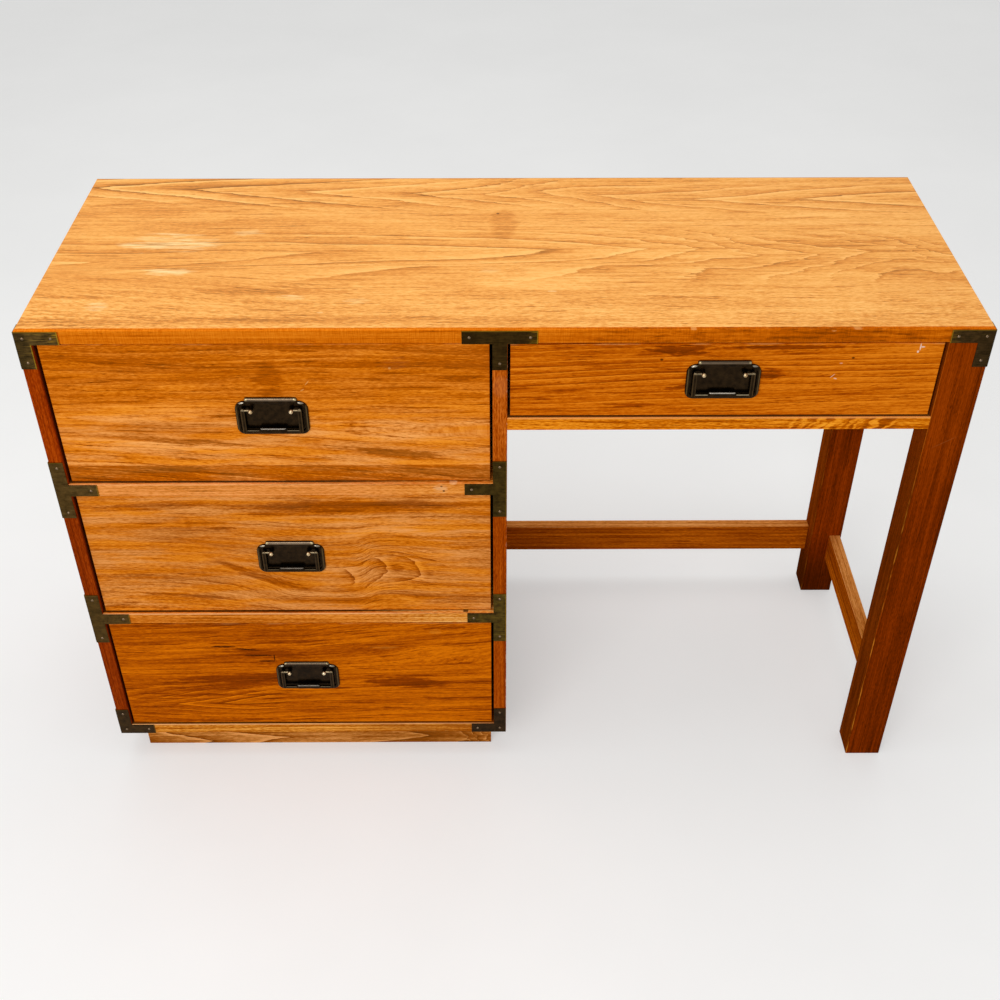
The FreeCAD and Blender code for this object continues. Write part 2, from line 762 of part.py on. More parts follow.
def pull_bail(drawer):
    """Squared bail with a raised grip, and two inward pins that turn in the posts."""
    half = bail_width / 2
    inner = half - bail_arm
    eye = post_height + bail_eye
    bar = bail_foot + bail_bar
    ramp = grip_rise / 2
    grip = grip_length / 2
    back_w = pivot_reach - bail_depth / 2
    corner = bail_arm / 2 - bail_eye_crown
    outline = [
        (-half, bail_foot, bail_corner), (half, bail_foot, bail_corner),
        (half, eye, corner), (inner, eye, corner),
        (inner, bar, bail_elbow), (grip, bar, grip_shoulder),
        (grip - ramp, bar + grip_rise, grip_shoulder),
        (-grip + ramp, bar + grip_rise, grip_shoulder),
        (-grip, bar, grip_shoulder), (-inner, bar, bail_elbow),
        (-inner, eye, corner), (-half, eye, corner),
    ]
    loop = Part.Face(rounded_wire(outline, lambda point: drawer.at(point.x, point.y, back_w)))
    loop = loop.extrude(V(0, -bail_depth, 0))
    fore = [edge for edge in loop.Edges if abs(edge.BoundBox.YLength) < 1e-6]
    loop = loop.makeFillet(bail_arris, fore)
    swell = grip - ramp
    handle = [
        (-swell, bail_foot + grip_edge, grip_end), (swell, bail_foot + grip_edge, grip_end),
        (swell, bar + grip_rise - grip_edge, grip_end),
        (-swell, bar + grip_rise - grip_edge, grip_end),
    ]
    bulge = Part.Face(rounded_wire(handle, lambda point: drawer.at(point.x, point.y, pivot_reach)))
    bulge = bulge.extrude(V(0, -bail_depth / 2 - grip_swell, 0))
    rise = [edge for edge in bulge.Edges
            if edge.BoundBox.YMax < drawer.face - pivot_reach - bail_depth / 2]
    pieces = [loop, bulge.makeFillet(grip_round, rise)]
    for sign in (-1, 1):
        end = post_spacing / 2 + post_neck - pin_depth + pin_end_gap
        start = drawer.at(sign * end, post_height, pivot_reach)
        pieces.append(Part.makeCylinder(bail_pin, inner + bail_arm / 2 - end, start, V(sign, 0, 0)))
    return joined(pieces)


def build_drawers():
    guides = []
    for drawer in all_drawers():
        name = drawer.name
        nodes[name + "_front"] = drawer_front(drawer)
        nodes[name + "_sides"] = drawer_sides(drawer)
        nodes[name + "_back"] = drawer_back(drawer)
        nodes[name + "_bottom"] = drawer_bottom(drawer)
        nodes[name + "_pull_plate"] = pull_plate(drawer)
        fittings = [part(drawer, sign) for part in (pull_post, post_nut) for sign in (-1, 1)]
        nodes[name + "_pull_posts"] = Part.makeCompound(fittings)
        nodes[name + "_bail"] = pull_bail(drawer)
        guides.append(centre_guide(drawer))
    nodes["centre_guides"] = Part.makeCompound(guides)


build_top()
build_case()
build_drawer_frames()
build_legs()
build_knee_frame()
build_plinth()
build_straps()
build_drawers()

os.makedirs("parts", exist_ok=True)
for node_name, shape in nodes.items():
    shape.exportStep("parts/" + node_name + ".step")
    limits = shape.BoundBox
    print(node_name, len(shape.Solids), shape.isValid(), round(shape.Volume),
          [round(v, 2) for v in (limits.XMin, limits.YMin, limits.ZMin,
                                 limits.XMax, limits.YMax, limits.ZMax)])
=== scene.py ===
import math

import bpy
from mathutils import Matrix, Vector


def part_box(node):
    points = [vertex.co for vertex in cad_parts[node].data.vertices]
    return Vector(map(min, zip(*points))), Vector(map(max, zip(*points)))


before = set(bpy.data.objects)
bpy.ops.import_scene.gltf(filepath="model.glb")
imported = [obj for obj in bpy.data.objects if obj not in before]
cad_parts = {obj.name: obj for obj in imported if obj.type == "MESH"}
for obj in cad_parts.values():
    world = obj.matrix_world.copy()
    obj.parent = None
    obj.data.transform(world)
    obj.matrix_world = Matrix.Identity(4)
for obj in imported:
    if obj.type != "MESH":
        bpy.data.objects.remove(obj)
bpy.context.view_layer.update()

# Campaign desk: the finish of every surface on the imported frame, the light and the camera.
# Finishes are worked out in millimetres: X to the right, Y to the back, Z up, floor at 0.

MM = 1000.0                    # millimetres in a metre
BLACK = (0.0, 0.0, 0.0, 1.0)
WHITE = (1.0, 1.0, 1.0, 1.0)


# ---------------------------------------- shader helpers
class Value:
    """A node's output that writes its own Math nodes: value * 2 + other."""

    def __init__(self, shading, socket):
        self.shading = shading
        self.socket = socket

    def math(self, operation, *others):
        inputs = dict(enumerate((self,) + others))
        return self.shading.node("Math", {"operation": operation}, inputs)

    def __add__(self, other):
        return self.math("ADD", other)

    def __radd__(self, other):
        return self.math("ADD", other)

    def __sub__(self, other):
        return self.math("SUBTRACT", other)

    def __rsub__(self, other):
        return self.shading.node("Math", {"operation": "SUBTRACT"}, {0: other, 1: self})

    def __mul__(self, other):
        return self.math("MULTIPLY", other)

    def __rmul__(self, other):
        return self.math("MULTIPLY", other)

    def __truediv__(self, other):
        return self.math("DIVIDE", other)

    def __pow__(self, other):
        return self.math("POWER", other)

    def __abs__(self):
        return self.math("ABSOLUTE")

    def most(self, other):
        return self.math("MAXIMUM", other)

    def least(self, other):
        return self.math("MINIMUM", other)

    def part(self):
        """What is left above the whole number."""
        return self.math("FRACT")

    def whole(self):
        return self.math("FLOOR")

    def ramp(self, start, end):
        """0 at start, 1 at end, with a soft curve between; start may be the larger."""
        limits = {"Value": self, "From Min": start, "From Max": end}
        return self.shading.node("MapRange", {"interpolation_type": "SMOOTHSTEP"}, limits)


def tone(red, green, blue, gain=1.0):
    """A colour written as on a screen, 0 to 255, as the linear colour that a socket takes."""
    linear = []
    for share in (red / 255, green / 255, blue / 255):
        linear.append(share / 12.92 if share < 0.04045 else ((share + 0.055) / 1.055) ** 2.4)
    return tuple(min(channel * gain, 1.0) for channel in linear) + (1.0,)


class Shading:
    """An emptied node tree, and the nodes that it is written with."""

    def __init__(self, tree):
        self.tree = tree
        self.tree.nodes.clear()

    def node(self, kind, settings=None, inputs=None, output=0):
        """Adds a node: its settings first, then the values or links of its sockets."""
        made = self.tree.nodes.new("ShaderNode" + kind)
        for key, setting in (settings or {}).items():
            if key == "stops":
                self.set_stops(made, setting)
            elif key == "points":
                self.set_points(made, setting)
            else:
                setattr(made, key, setting)
        for socket, value in (inputs or {}).items():
            if isinstance(value, Value):
                self.tree.links.new(value.socket, made.inputs[socket])
            else:
                made.inputs[socket].default_value = value
        return Value(self, made.outputs[output])

    @staticmethod
    def set_stops(made, stops):
        """Writes a colour ramp's stops: (place, colour) from 0 to 1."""
        elements = made.color_ramp.elements
        while len(elements) < len(stops):
            elements.new(1.0)
        for element, (place, colour) in zip(elements, stops):
            element.position = place
            element.color = colour

    @staticmethod
    def set_points(made, points):
        """Writes a curve's points, and lets it run on straight past both ends."""
        mapping = made.mapping
        mapping.extend = "EXTRAPOLATED"
        mapping.use_clip = False
        curve = mapping.curves[0]
        while len(curve.points) < len(points):
            curve.points.new(0.5, 0.5)
        for point, place in zip(curve.points, points):
            point.location = place
        mapping.update()

    def through(self, value, points):
        """A smooth line through (input, output) points, both in their own units."""
        low, high = points[0][0], points[-1][0]
        outs = [out for _, out in points]
        foot, reach = min(outs), max(outs) - min(outs)
        shares = [((at - low) / (high - low), (out - foot) / reach) for at, out in points]
        share = (value - low) / (high - low)
        return self.node("FloatCurve", {"points": shares}, {"Value": share}) * reach + foot

    def vector(self, x, y, z):
        return self.node("CombineXYZ", inputs={0: x, 1: y, 2: z})

    def noise(self, x, y, z, detail=2.0, rough=0.5):
        """Cloudy noise about 0, mostly between -0.5 and 0.5."""
        inputs = {"Vector": self.vector(x, y, z), "Scale": 1.0, "Detail": detail, "Roughness": rough}
        return self.node("TexNoise", inputs=inputs) - 0.5

    def chance(self, number):
        """A number of its own, 0 to 1, for each whole number."""
        return self.node("TexWhiteNoise", {"noise_dimensions": "1D"}, {"W": number})

    def mix(self, share, first, second):
        """Goes from the first colour to the second as share goes from 0 to 1."""
        settings = {"data_type": "RGBA", "clamp_factor": True}
        return self.node("Mix", settings, {0: share, 6: first, 7: second}, output=2)

    def colours(self, shade, stops):
        return self.node("ValToRGB", {"stops": stops}, {0: shade})

    def seen(self):
        """1 for what the eye, a mirror or a glass sees, 0 for the light that falls on things."""
        rays = ("Is Camera Ray", "Is Glossy Ray", "Is Transmission Ray")
        eye, mirror, glass = [self.node("LightPath", output=ray) for ray in rays]
        return eye.most(mirror).most(glass)

    def end(self, shader, kind):
        out = self.tree.nodes.new("ShaderNodeOutput" + kind)
        self.tree.links.new(shader.socket, out.inputs["Surface"])


class Finish(Shading):
    """One material, and the places on the desk that its pattern reads."""

    def __init__(self, name):
        self.material = bpy.data.materials.new(name)
        self.material.use_nodes = True
        super().__init__(self.material.node_tree)
        place = self.node("TexCoord", output="Object")
        parts = [self.node("SeparateXYZ", inputs={0: place}, output=axis) for axis in "XYZ"]
        self.x, self.y, self.z = [part * MM for part in parts]

    def coat(self, colour, roughness, height, bump, metallic=0.0, specular=0.5, tint=None, glow=None):
        """Ends the material: one shader, with the height's relief as a bump in metres."""
        relief = {"Strength": 1.0, "Distance": bump, "Height": height}
        inputs = {
            "Base Color": colour,
            "Roughness": roughness,
            "Metallic": metallic,
            "Specular IOR Level": specular,
            "Normal": self.node("Bump", inputs=relief),
        }
        if tint is not None:
            inputs["Specular Tint"] = tint
        if glow is not None:
            inputs["Emission Color"], inputs["Emission Strength"] = glow
        self.end(self.node("BsdfPrincipled", inputs=inputs), "Material")
        return self.material


# ---------------------------------------- wood
SCUFF = tone(255, 224, 160)
PALE_WEAR = tone(234, 166, 92)
RUBBED = tone(250, 190, 128)
# Dark brown of the painted shade, partly dirt, on the rails just in front of the drawers.
DIRT_AND_PAINTED_SHADE = tone(52, 20, 2)
CRACK = tone(38, 14, 4)
WARM_GLOSS = (1.0, 0.5, 0.12, 1.0)
BARE = ((160, 108, 58), (188, 136, 80), (208, 160, 104))               # unstained inner wood
CASE_TONES = ((134, 52, 0), (158, 68, 3), (180, 86, 10), 1.1)          # sides, divider and aprons
WOOD_RELIEF = 0.00004          # metres


def palette(dark, middle, pale, gain=1.0):
    """A wood's colour ramp, from its usual dark, middle and pale grain colours."""
    low, mid, high = tone(*dark), tone(*middle), tone(*pale)
    deepest = tuple(channel * 0.45 for channel in low)
    palest = tuple(min(h + (h - m) * 0.9, 1.0) for m, h in zip(mid, high))
    stops = []
    for place, colour in ((0.0, deepest), (0.36, low), (0.52, mid), (0.68, high), (1.0, palest)):
        stops.append((place, tuple(channel * gain for channel in colour[:3]) + (1.0,)))
    return stops


class Board(Finish):
    """Wood on one board: u along its grain, v across its face, w into it, in millimetres.

    The letters of axes say which way these three run, and the seed sets its grain apart.
    """

    def __init__(self, name, axes, seed):
        super().__init__(name)
        self.u, self.v, self.w = [getattr(self, axis) for axis in axes]
        self.seed = seed

    def streaks(self, length, width, detail=2.0, rough=0.5, across=None, shift=0.0):
        """Noise drawn out along the grain; across may be a bent copy of v."""
        side = self.v if across is None else across
        start = self.seed * 7.31 + shift
        return self.noise(self.u / length + start, side / width + start, self.w / width, detail, rough)

    def blot(self, at, reach, slope=0.0, bow=0.0, ragged=0.0, soft=0.8):
        """A long soft spot: 1 in its middle, 0 past an ellipse whose spine leans and bows."""
        du = self.u - at[0]
        spine = at[1] + slope * du + bow * (du / reach[0]) ** 2
        span = (du / reach[0]) ** 2 + ((self.v - spine) / reach[1]) ** 2
        if ragged:
            size = reach[1]
            span = span + ragged * self.streaks(size * 2.5, size * 0.4, 4.0, 0.6, shift=at[0])
        return span.ramp(1.0, 1.0 - soft)

    def clouded(self, shade, spots):
        """Shades the grain with soft spots: (change, at, reach, slope, ragged) each."""
        for change, at, reach, slope, ragged in spots:
            shade = shade + change * self.blot(at, reach, slope, ragged=ragged)
        return shade

    def marks(self, rows):
        """Small marks as one mask, the strongest at each place.

        Each row says (strength, at, reach, slope, ragged, soft).
        """
        mask = None
        for strength, at, reach, slope, ragged, soft in rows:
            mark = self.blot(at, reach, slope, ragged=ragged, soft=soft) * strength
            mask = mark if mask is None else mask.most(mark)
        return mask

    def hill(self, at, reach, height):
        """A round bump in the count of rings, exp(-(du/a)^2 - (dv/b)^2) times height.

        The lines dip where the height is above 0 and rise where it is below.
        """
        du = (self.u - at[0]) / reach[0]
        dv = (self.v - at[1]) / reach[1]
        return (0.0 - (du ** 2 + dv ** 2)).math("EXPONENT") * height

    def ring_shade(self, rings):
        """One yearly ring: a dark line that fades outward, and pale just before the next line."""
        part = rings.part()
        own = self.chance(rings.whole() + self.seed)
        line = part.ramp(0.14, 0.0)
        after = part.ramp(0.55, 0.0)
        pale = part.ramp(0.72, 0.97)
        return (pale * 0.55 - after * 0.45 - line * 0.55) * (own * own + 0.5)

    def shade(self, rings, level=0.53, ring=0.2, band=0.4, streak=0.5, fine=0.55, pore=0.3, drift=0.4,
              hair=0.2, bent=None):
        """Lightness of the grain, 0 to 1: rings, bands that follow them, straight streaks, pores."""
        bands = self.noise(self.u / 520.0 + self.seed, rings * 0.9, self.w / 40.0, 4.0, 0.55)
        shade = level + ring * self.ring_shade(rings) + band * bands
        shade = shade + streak * self.streaks(280.0, 3.0, 4.0, 0.68, across=bent)
        shade = shade + fine * self.streaks(8.0, 1.1, 2.0, 0.6, across=bent, shift=5.0)
        shade = shade + drift * self.streaks(190.0, 30.0, 3.0, 0.6, across=bent, shift=9.0)
        thick = self.streaks(60.0, 7.0, 3.0, across=bent, shift=2.0).ramp(-0.06, 0.14)
        hairs = abs(self.streaks(420.0, 7.0, 2.0, across=bent, shift=8.0)).ramp(0.045, 0.005)
        pores = self.streaks(10.0, 0.8, 2.0, across=bent, shift=3.0).ramp(0.06, 0.2)
        return shade - hair * (hairs * thick) - pore * (pores * thick)

    def fibres(self, mask):
        """A mark broken up by the grain into fine lines."""
        lines = self.streaks(40.0, 1.7, 3.0, 0.6, shift=6.0).ramp(-0.1, 0.14)
        return mask * (lines * 0.85 + 0.15)

    def two_tone(self, shade, first, second):
        """Colours the grain from two palettes that take over from each other in slow patches."""
        patches = self.streaks(150.0, 16.0, 3.0, 0.6, shift=17.0).ramp(-0.1, 0.12)
        return self.mix(patches, self.colours(shade, first), self.colours(shade, second))

    def paint(self, colour, mask, over):
        """Lays one colour over another where the mask says."""
        return self.mix(mask, colour, over)

    def arris(self, across, into):
        """The distance from the edge that runs along the board at v = across and w = into."""
        return abs(self.v - across) + abs(self.w - into)

    def worn_edge(self, distance, width, reach, least):
        """Wear along an edge: full at distance 0, in runs about reach long, more for a lower least."""
        broken = self.noise(self.u / reach, self.v / 4.0, self.w / 4.0, 4.0, 0.65).ramp(least, least + 0.2)
        return distance.ramp(width, width * 0.2) * broken

    def lacquer(self, colour, shade, rough=0.46, specular=0.012):
        """Thin satin lacquer: a little rougher in the dark grain and in slow patches."""
        patches = self.noise(self.x / 45.0, self.y / 45.0, self.z / 45.0, 3.0)
        roughness = rough + 0.14 * patches - 0.08 * (shade - 0.5)
        relief = shade * 0.5 + self.streaks(9.0, 0.6, 2.0, shift=3.0)
        return self.coat(colour, roughness, relief, WOOD_RELIEF, specular=specular, tint=WARM_GLOSS)


def edges_of(node):
    """A node's lowest and highest corner in millimetres."""
    low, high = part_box(node)
    return [value * MM for value in low], [value * MM for value in high]


def wood_name(node):
    return node.replace("_", " ") + " wood"


def plain_rings(board, pitch, wander, lean=0.0, depth=9.0):
    """Nearly straight grain: across divided by the pitch, with a slow wander."""
    bend = board.streaks(420.0, 46.0, 2.0, shift=1.5) * wander * 4.0
    return (board.v + bend + lean * board.u + board.w * (pitch / depth)) / pitch


# ---- desk top ----
# Where each arch of the grain has its tip, (x, y) in millimetres, in two rows from left to right.
FRONT_TIPS = (
    (-760, -50), (-558, -37), (-259, -10), (64, -4), (188, -4), (270, -4), (349, -22), (430, -18),
    (501, -12), (591, -40), (690, -44)
)
BACK_TIPS = (
    (-600, 192), (-458, 187), (-295, 177), (-135, 172), (-22, 168), (51, 175), (141, 164), (285, 151),
    (436, 152), (640, 150)
)
TOP_SPOTS = (
    (-0.12, (560, -74), (150, 20), -0.2, 2.2),
    (-0.18, (-300, -118), (130, 15), 0, 2.2),
    (-0.12, (0, 72), (22, 52), 0, 2.5),
    (-0.14, (-120, -190), (420, 12), 0, 2.5),
    (0.12, (55, -95), (110, 22), 0, 2.5),
    (0.08, (-505, 165), (120, 20), 0, 2.5),
)
TOP_SCUFFS = (
    (0.9, (-455, 16), (72, 30), 0, 5, 0.95),
    (0.95, (-448, -64), (38, 11), 0, 3.6, 0.9),
    (0.6, (-357, 47), (24, 9), 0, 3.6, 0.9),
    (0.6, (-520, -155), (16, 12), 0, 3, 0.9),
    (0.7, (-276, -132), (20, 6), 0, 3, 0.8),
    (0.3, (-189, -142), (20, 9), 0, 3, 0.8),
    (0.3, (-20, -62), (18, 10), 0, 3, 0.8),
    (0.8, (62, -118), (7, 2), 0, 0, 0.6),
    (0.8, (-234, -171), (5, 2), 0, 0, 0.6),
)


def desk_top_wood():
    """Two rows of nested arches: one near the middle open to the left, one at the back to the right."""
    board = Board("desk top wood", "xyz", 3.0)
    _, high = edges_of("desk_top")
    u = board.u + 60.0 * board.streaks(46.0, 11.0, 3.0, 0.6, shift=11.0)
    v = board.v + 14.0 * board.streaks(230.0, 46.0, 3.0, shift=13.0)
    lean = (board.u + 250.0).least(0.0) * board.v.ramp(-30.0, -80.0) * board.v.ramp(-240.0, -110.0)
    v = v + 0.11 * lean

    # The front row opens to the left: blunt tips that get sharper to the right.
    front_count = board.through(u, [(x, index) for index, (x, _) in enumerate(FRONT_TIPS)])
    off = v - board.through(u, list(FRONT_TIPS))
    below = (0.0 - off).most(0.0)
    blunt = below / 75.0 + ((below / 38.0) ** 4).least(2.0)
    right = board.u.ramp(80.0, 330.0)
    sharp = below.least(60.0) / 30.0 + (below - 60.0).most(0.0) / 250.0
    front = front_count + blunt + (sharp - blunt) * right + off.most(0.0) / 25.0

    # The back row opens to the right, with even arches.
    back_count = board.through(u, [(x, index) for index, (x, _) in enumerate(BACK_TIPS)])
    back_off = abs(v - board.through(u, list(BACK_TIPS)))
    back = back_off / 27.0 - back_count

    # Straight grain everywhere, with the rings of the two rows laid over it near their tips.
    deep = (board.w - high[2]) * 0.11
    straight = v / 24.0 + deep
    fine = 0.65 + 0.55 * board.v.ramp(-60.0, -190.0)
    shade = board.shade(straight, ring=0.0, band=0.3, streak=0.55, fine=fine, hair=0.25, bent=v)
    at_back = v.ramp(96.0, 116.0)
    near_front = v.ramp(-112.0, -60.0) * off.ramp(80.0, 30.0) * 0.95 + 0.05
    near_back = back_off.ramp(62.0, 24.0) * 1.5 + 0.2
    rings = board.ring_shade(front + deep) * near_front
    rings = rings + at_back * (board.ring_shade(back + deep) * near_back - rings)
    shade = shade + 0.3 * rings - 0.06 * board.u.ramp(-200.0, -480.0)
    shade = board.clouded(shade, TOP_SPOTS)
    colour = board.colours(shade, palette((220, 140, 58), (240, 168, 82), (253, 187, 103)))
    colour = board.paint(colour, board.fibres(board.marks(TOP_SCUFFS)), SCUFF)
    spot = board.blot((-8, 105), (2.5, 2.5), soft=0.6)
    colour = board.paint(colour, spot * 0.7, CRACK)
    back_line = board.v.ramp(high[1] - 3.5, high[1] - 0.5)
    colour = board.paint(colour, back_line * 0.55, tone(120, 76, 44))
    return board.lacquer(colour, shade, specular=0.2)


# ---- solid edges and rails ----
EDGE_CHIPS = (
    (0.5, (408, 797.8), (3.4, 1.2), 0, 5, 0.8),
    (0.5, (438, 800), (6, 0.6), 0, 4, 0.8),
    (0.5, (234, 800), (4, 0.8), 0, 2, 0.6),
)


def edging_wood():
    """The front edging: fine ticks, dirty to the right and chipped along its upper arris."""
    board = Board("top edging wood", "xzy", 8.0)
    low, high = edges_of("top_front_edging")
    rings = plain_rings(board, 6.0, 2.0, lean=0.004)
    shade = board.shade(rings, ring=0.1, band=0.3, streak=0.45, fine=0.3, drift=0.2)
    ticks = board.noise(board.u / 1.3, board.v / 22.0, board.w / 9.0, 2.0)
    shade = shade + 0.4 * ticks
    dirt = board.noise(board.u / 26.0, board.v / 5.0, board.w / 5.0, 4.0, 0.65).ramp(-0.05, 0.2)
    shade = shade - (0.09 + 0.34 * dirt) * board.u.ramp(-10.0, 200.0)
    shade = shade - 0.14 * board.u.ramp(300.0, 380.0) * board.u.ramp(480.0, 440.0)
    colour = board.colours(shade, palette((188, 88, 0), (210, 108, 8), (226, 128, 24), 1.1))
    wear = board.worn_edge(high[2] - board.v, 0.9, 16.0, 0.06)
    wear = wear.most(board.worn_edge(board.v - low[2], 0.9, 90.0, -0.2) * board.u.ramp(0.0, 30.0))
    colour = board.paint(colour, wear * 0.6, tone(244, 156, 56))
    colour = board.paint(colour, board.marks(EDGE_CHIPS), tone(240, 170, 92))
    return board.lacquer(colour, shade)


def under_drawer(board, node, inset, colour):
    """Painted shade, partly dirt: the dark line on a rail's upper face, close to its drawer."""
    low, high = edges_of(node)
    # Painted shade on the upper face, just in front of the drawer.
    face = board.v.ramp(high[2] - 0.4, high[2] - 0.1)
    line = board.w.ramp(low[1] + inset - 1.9, low[1] + inset - 0.9)
    return board.paint(colour, face * line * 0.85, DIRT_AND_PAINTED_SHADE)


def rail_board(node, seed, lean):
    """A drawer rail and the lightness of its straight, streaky grain."""
    board = Board(wood_name(node), "xzy", seed)
    return board, board.shade(plain_rings(board, 7.0, 4.0, lean=lean), streak=1.0, fine=1.1)


def rail_wood(node, seed, tones, inset, lean, wear):
    """A drawer rail with the worn line along its upper arris, and its drawer set back by inset."""
    board, shade = rail_board(node, seed, lean)
    low, high = edges_of(node)
    colour = board.colours(shade, palette(*tones))
    worn = board.worn_edge(board.arris(high[2], low[1]), 2.4, 60.0, -0.3)
    colour = board.paint(colour, worn * wear, RUBBED)
    return board, shade, under_drawer(board, node, inset, colour)


def upper_rail_wood():
    tones = ((206, 120, 42), (222, 137, 62), (236, 153, 80), 1.14)
    board, shade, colour = rail_wood("upper_rail", 12.0, tones, 5.5, -0.05, 0.35)
    _, high = edges_of("upper_rail")
    golden = board.colours(shade, palette((196, 98, 8), (224, 128, 30), (244, 156, 66)))
    colour = board.mix(board.u.ramp(-260.0, -90.0) * 0.8, colour, golden)
    # A rubbed pale patch, and a painted highlight on the upper arris beside it.
    rubbed = ((0.45, (-86, 551), (11, 10), 0, 5, 0.9), (0.8, (-70, high[2]), (6, 2), 0, 2, 0.7))
    colour = board.paint(colour, board.fibres(board.marks(rubbed)), tone(255, 206, 150))
    specks = ((0.7, (-86, 554.3), (1.8, 1.5), 0, 0, 0.6), (0.7, (-83, 546.5), (2, 2), 0, 0, 0.6))
    colour = board.paint(colour, board.marks(specks), CRACK)
    return board.lacquer(colour, shade)


def lower_rail_wood():
    tones = ((178, 88, 3), (200, 111, 26), (224, 138, 50), 1.16)
    board, shade, colour = rail_wood("lower_rail", 15.0, tones, 5.5, 0.02, 0.7)
    low, _ = edges_of("lower_rail")
    golden = board.colours(shade, palette((206, 116, 26), (238, 160, 62), (252, 190, 108), 1.06))
    colour = board.mix(board.u.ramp(-230.0, -60.0) * 0.8, colour, golden)
    chip = board.blot((-57, 317), (4.5, 4), soft=0.6) * board.w.ramp(low[1] + 1.4, low[1] + 2.6)
    colour = board.paint(colour, chip * 0.8, CRACK)
    return board.lacquer(colour, shade)


def bottom_rail_wood():
    tones = ((176, 88, 4), (206, 122, 28), (236, 158, 62), 1.08)
    board, shade, colour = rail_wood("bottom_rail", 18.0, tones, 2.5, -0.02, 0.7)
    dark_end = board.u.ramp(-300.0, -90.0) * board.streaks(90.0, 5.0, 3.0, shift=7.0).ramp(-0.3, 0.2)
    colour = board.paint(colour, dark_end * 0.75, tone(150, 68, 0))
    return board.lacquer(colour, shade)


def knee_rail_wood():
    """The rail under the knee drawer, with curly grain in the right part of its face."""
    board, shade = rail_board("knee_rail", 21.0, 0.05)
    low, high = edges_of("knee_rail")
    slant = board.u - 0.8 * board.v + 22.0 * board.streaks(22.0, 9.0, 3.0, shift=4.0)
    curl = board.noise(slant / 9.0, board.v / 26.0, board.w / 20.0, 2.0).ramp(-0.14, 0.14)
    curly = board.u.ramp(340.0, 400.0) * board.u.ramp(520.0, 500.0)
    shade = shade + (curl - 0.5) * 0.55 * curly
    colour = board.colours(shade, palette((184, 86, 0), (214, 116, 5), (240, 146, 30), 1.1))
    top_face = board.v.ramp(high[2] - 1.2, high[2] - 0.2)
    colour = board.paint(colour, top_face * 0.8, tone(248, 158, 72))
    worn = board.worn_edge(board.arris(high[2], low[1]), 2.8, 60.0, -0.3)
    colour = board.paint(colour, worn * 0.5, PALE_WEAR)
    return board.lacquer(under_drawer(board, "knee_rail", 3.5, colour), shade)


# ---- drawer fronts ----
def front_wear(board, low, high, colour, amount):
    """Pale worn line on the front's upper arris and, fainter, on its two sides."""
    upper = board.worn_edge(board.arris(high[2], low[1]), 2.0, 45.0, -0.05)
    colour = board.paint(colour, upper * amount, PALE_WEAR)
    sides = abs((board.u - low[0]).least(high[0] - board.u)) + abs(board.w - low[1])
    return board.paint(colour, board.worn_edge(sides, 1.8, 20.0, 0.05) * amount, PALE_WEAR)


TOP_FRONT_SPOTS = (
    (-0.14, (-442, 578), (50, 11), 0, 3),
    (-0.09, (-90, 577), (70, 10), 0, 3),
    (-0.22, (-135, 605), (70, 10), -0.1, 2.5),
    (-0.12, (-440, 628), (140, 6), -0.09, 2),
    (0.16, (-190, 636), (180, 9), -0.07, 2),
    (0.14, (-400, 615), (190, 9), -0.08, 2),
    (0.1, (-480, 672), (120, 14), 0, 2.5),
)
TOP_FRONT_SCRATCHES = (
    (0.75, (-254, 719), (3, 1.1), 1.2, 1, 0.6),
    (0.75, (-261, 708), (3, 1), 0.6, 1, 0.6),
    (0.75, (-147, 741), (2, 1.8), 0, 0, 0.6),
)


def top_drawer_wood():
    """Straight grain that rises to the left in its lower part, with two shallow dips above."""
    board = Board("top drawer front wood", "xzy", 31.0)
    low, high = edges_of("top_drawer_front")
    wander = board.streaks(210.0, 30.0, 3.0, shift=1.0) * 14.0
    v = board.v + wander + 0.085 * (board.u + 300.0) * board.v.ramp(665.0, 630.0)
    rings = v / 12.0 + board.hill((-470, 735), (90, 26), 0.9) + board.hill((-60, 760), (70, 16), 0.6)
    rings = rings + (board.w - low[1]) / 9.0
    shade = board.shade(rings, level=0.57, ring=0.12, band=0.4, fine=0.7, pore=0.45, hair=0.3, bent=v)
    shade = shade - 0.12 * board.v.ramp(680.0, 720.0)
    # A dark line along the lower edge, under a paler band.
    shade = shade - 0.26 * board.v.ramp(588.2, 586.4) + 0.09 * board.v.ramp(608.0, 590.0)
    shade = board.clouded(shade, TOP_FRONT_SPOTS)
    shade = shade - 0.18 * board.blot((-304, 722), (20, 40), ragged=5.0, soft=0.95)
    orange = palette((180, 86, 0), (212, 114, 12), (234, 140, 36), 1.12)
    tan = palette((176, 94, 18), (214, 130, 54), (240, 160, 82), 1.12)
    colour = board.two_tone(shade - 0.02, orange, tan)
    colour = board.mix(board.v.ramp(650.0, 690.0) * 0.8, colour, board.colours(shade, orange))
    colour = board.paint(colour, board.marks(TOP_FRONT_SCRATCHES), PALE_WEAR)
    smudge = board.blot((-140, 748), (22, 11), ragged=3.5)
    colour = board.paint(colour, board.fibres(smudge) * 0.4, tone(140, 72, 34))
    return board.lacquer(front_wear(board, low, high, colour, 0.35), shade)


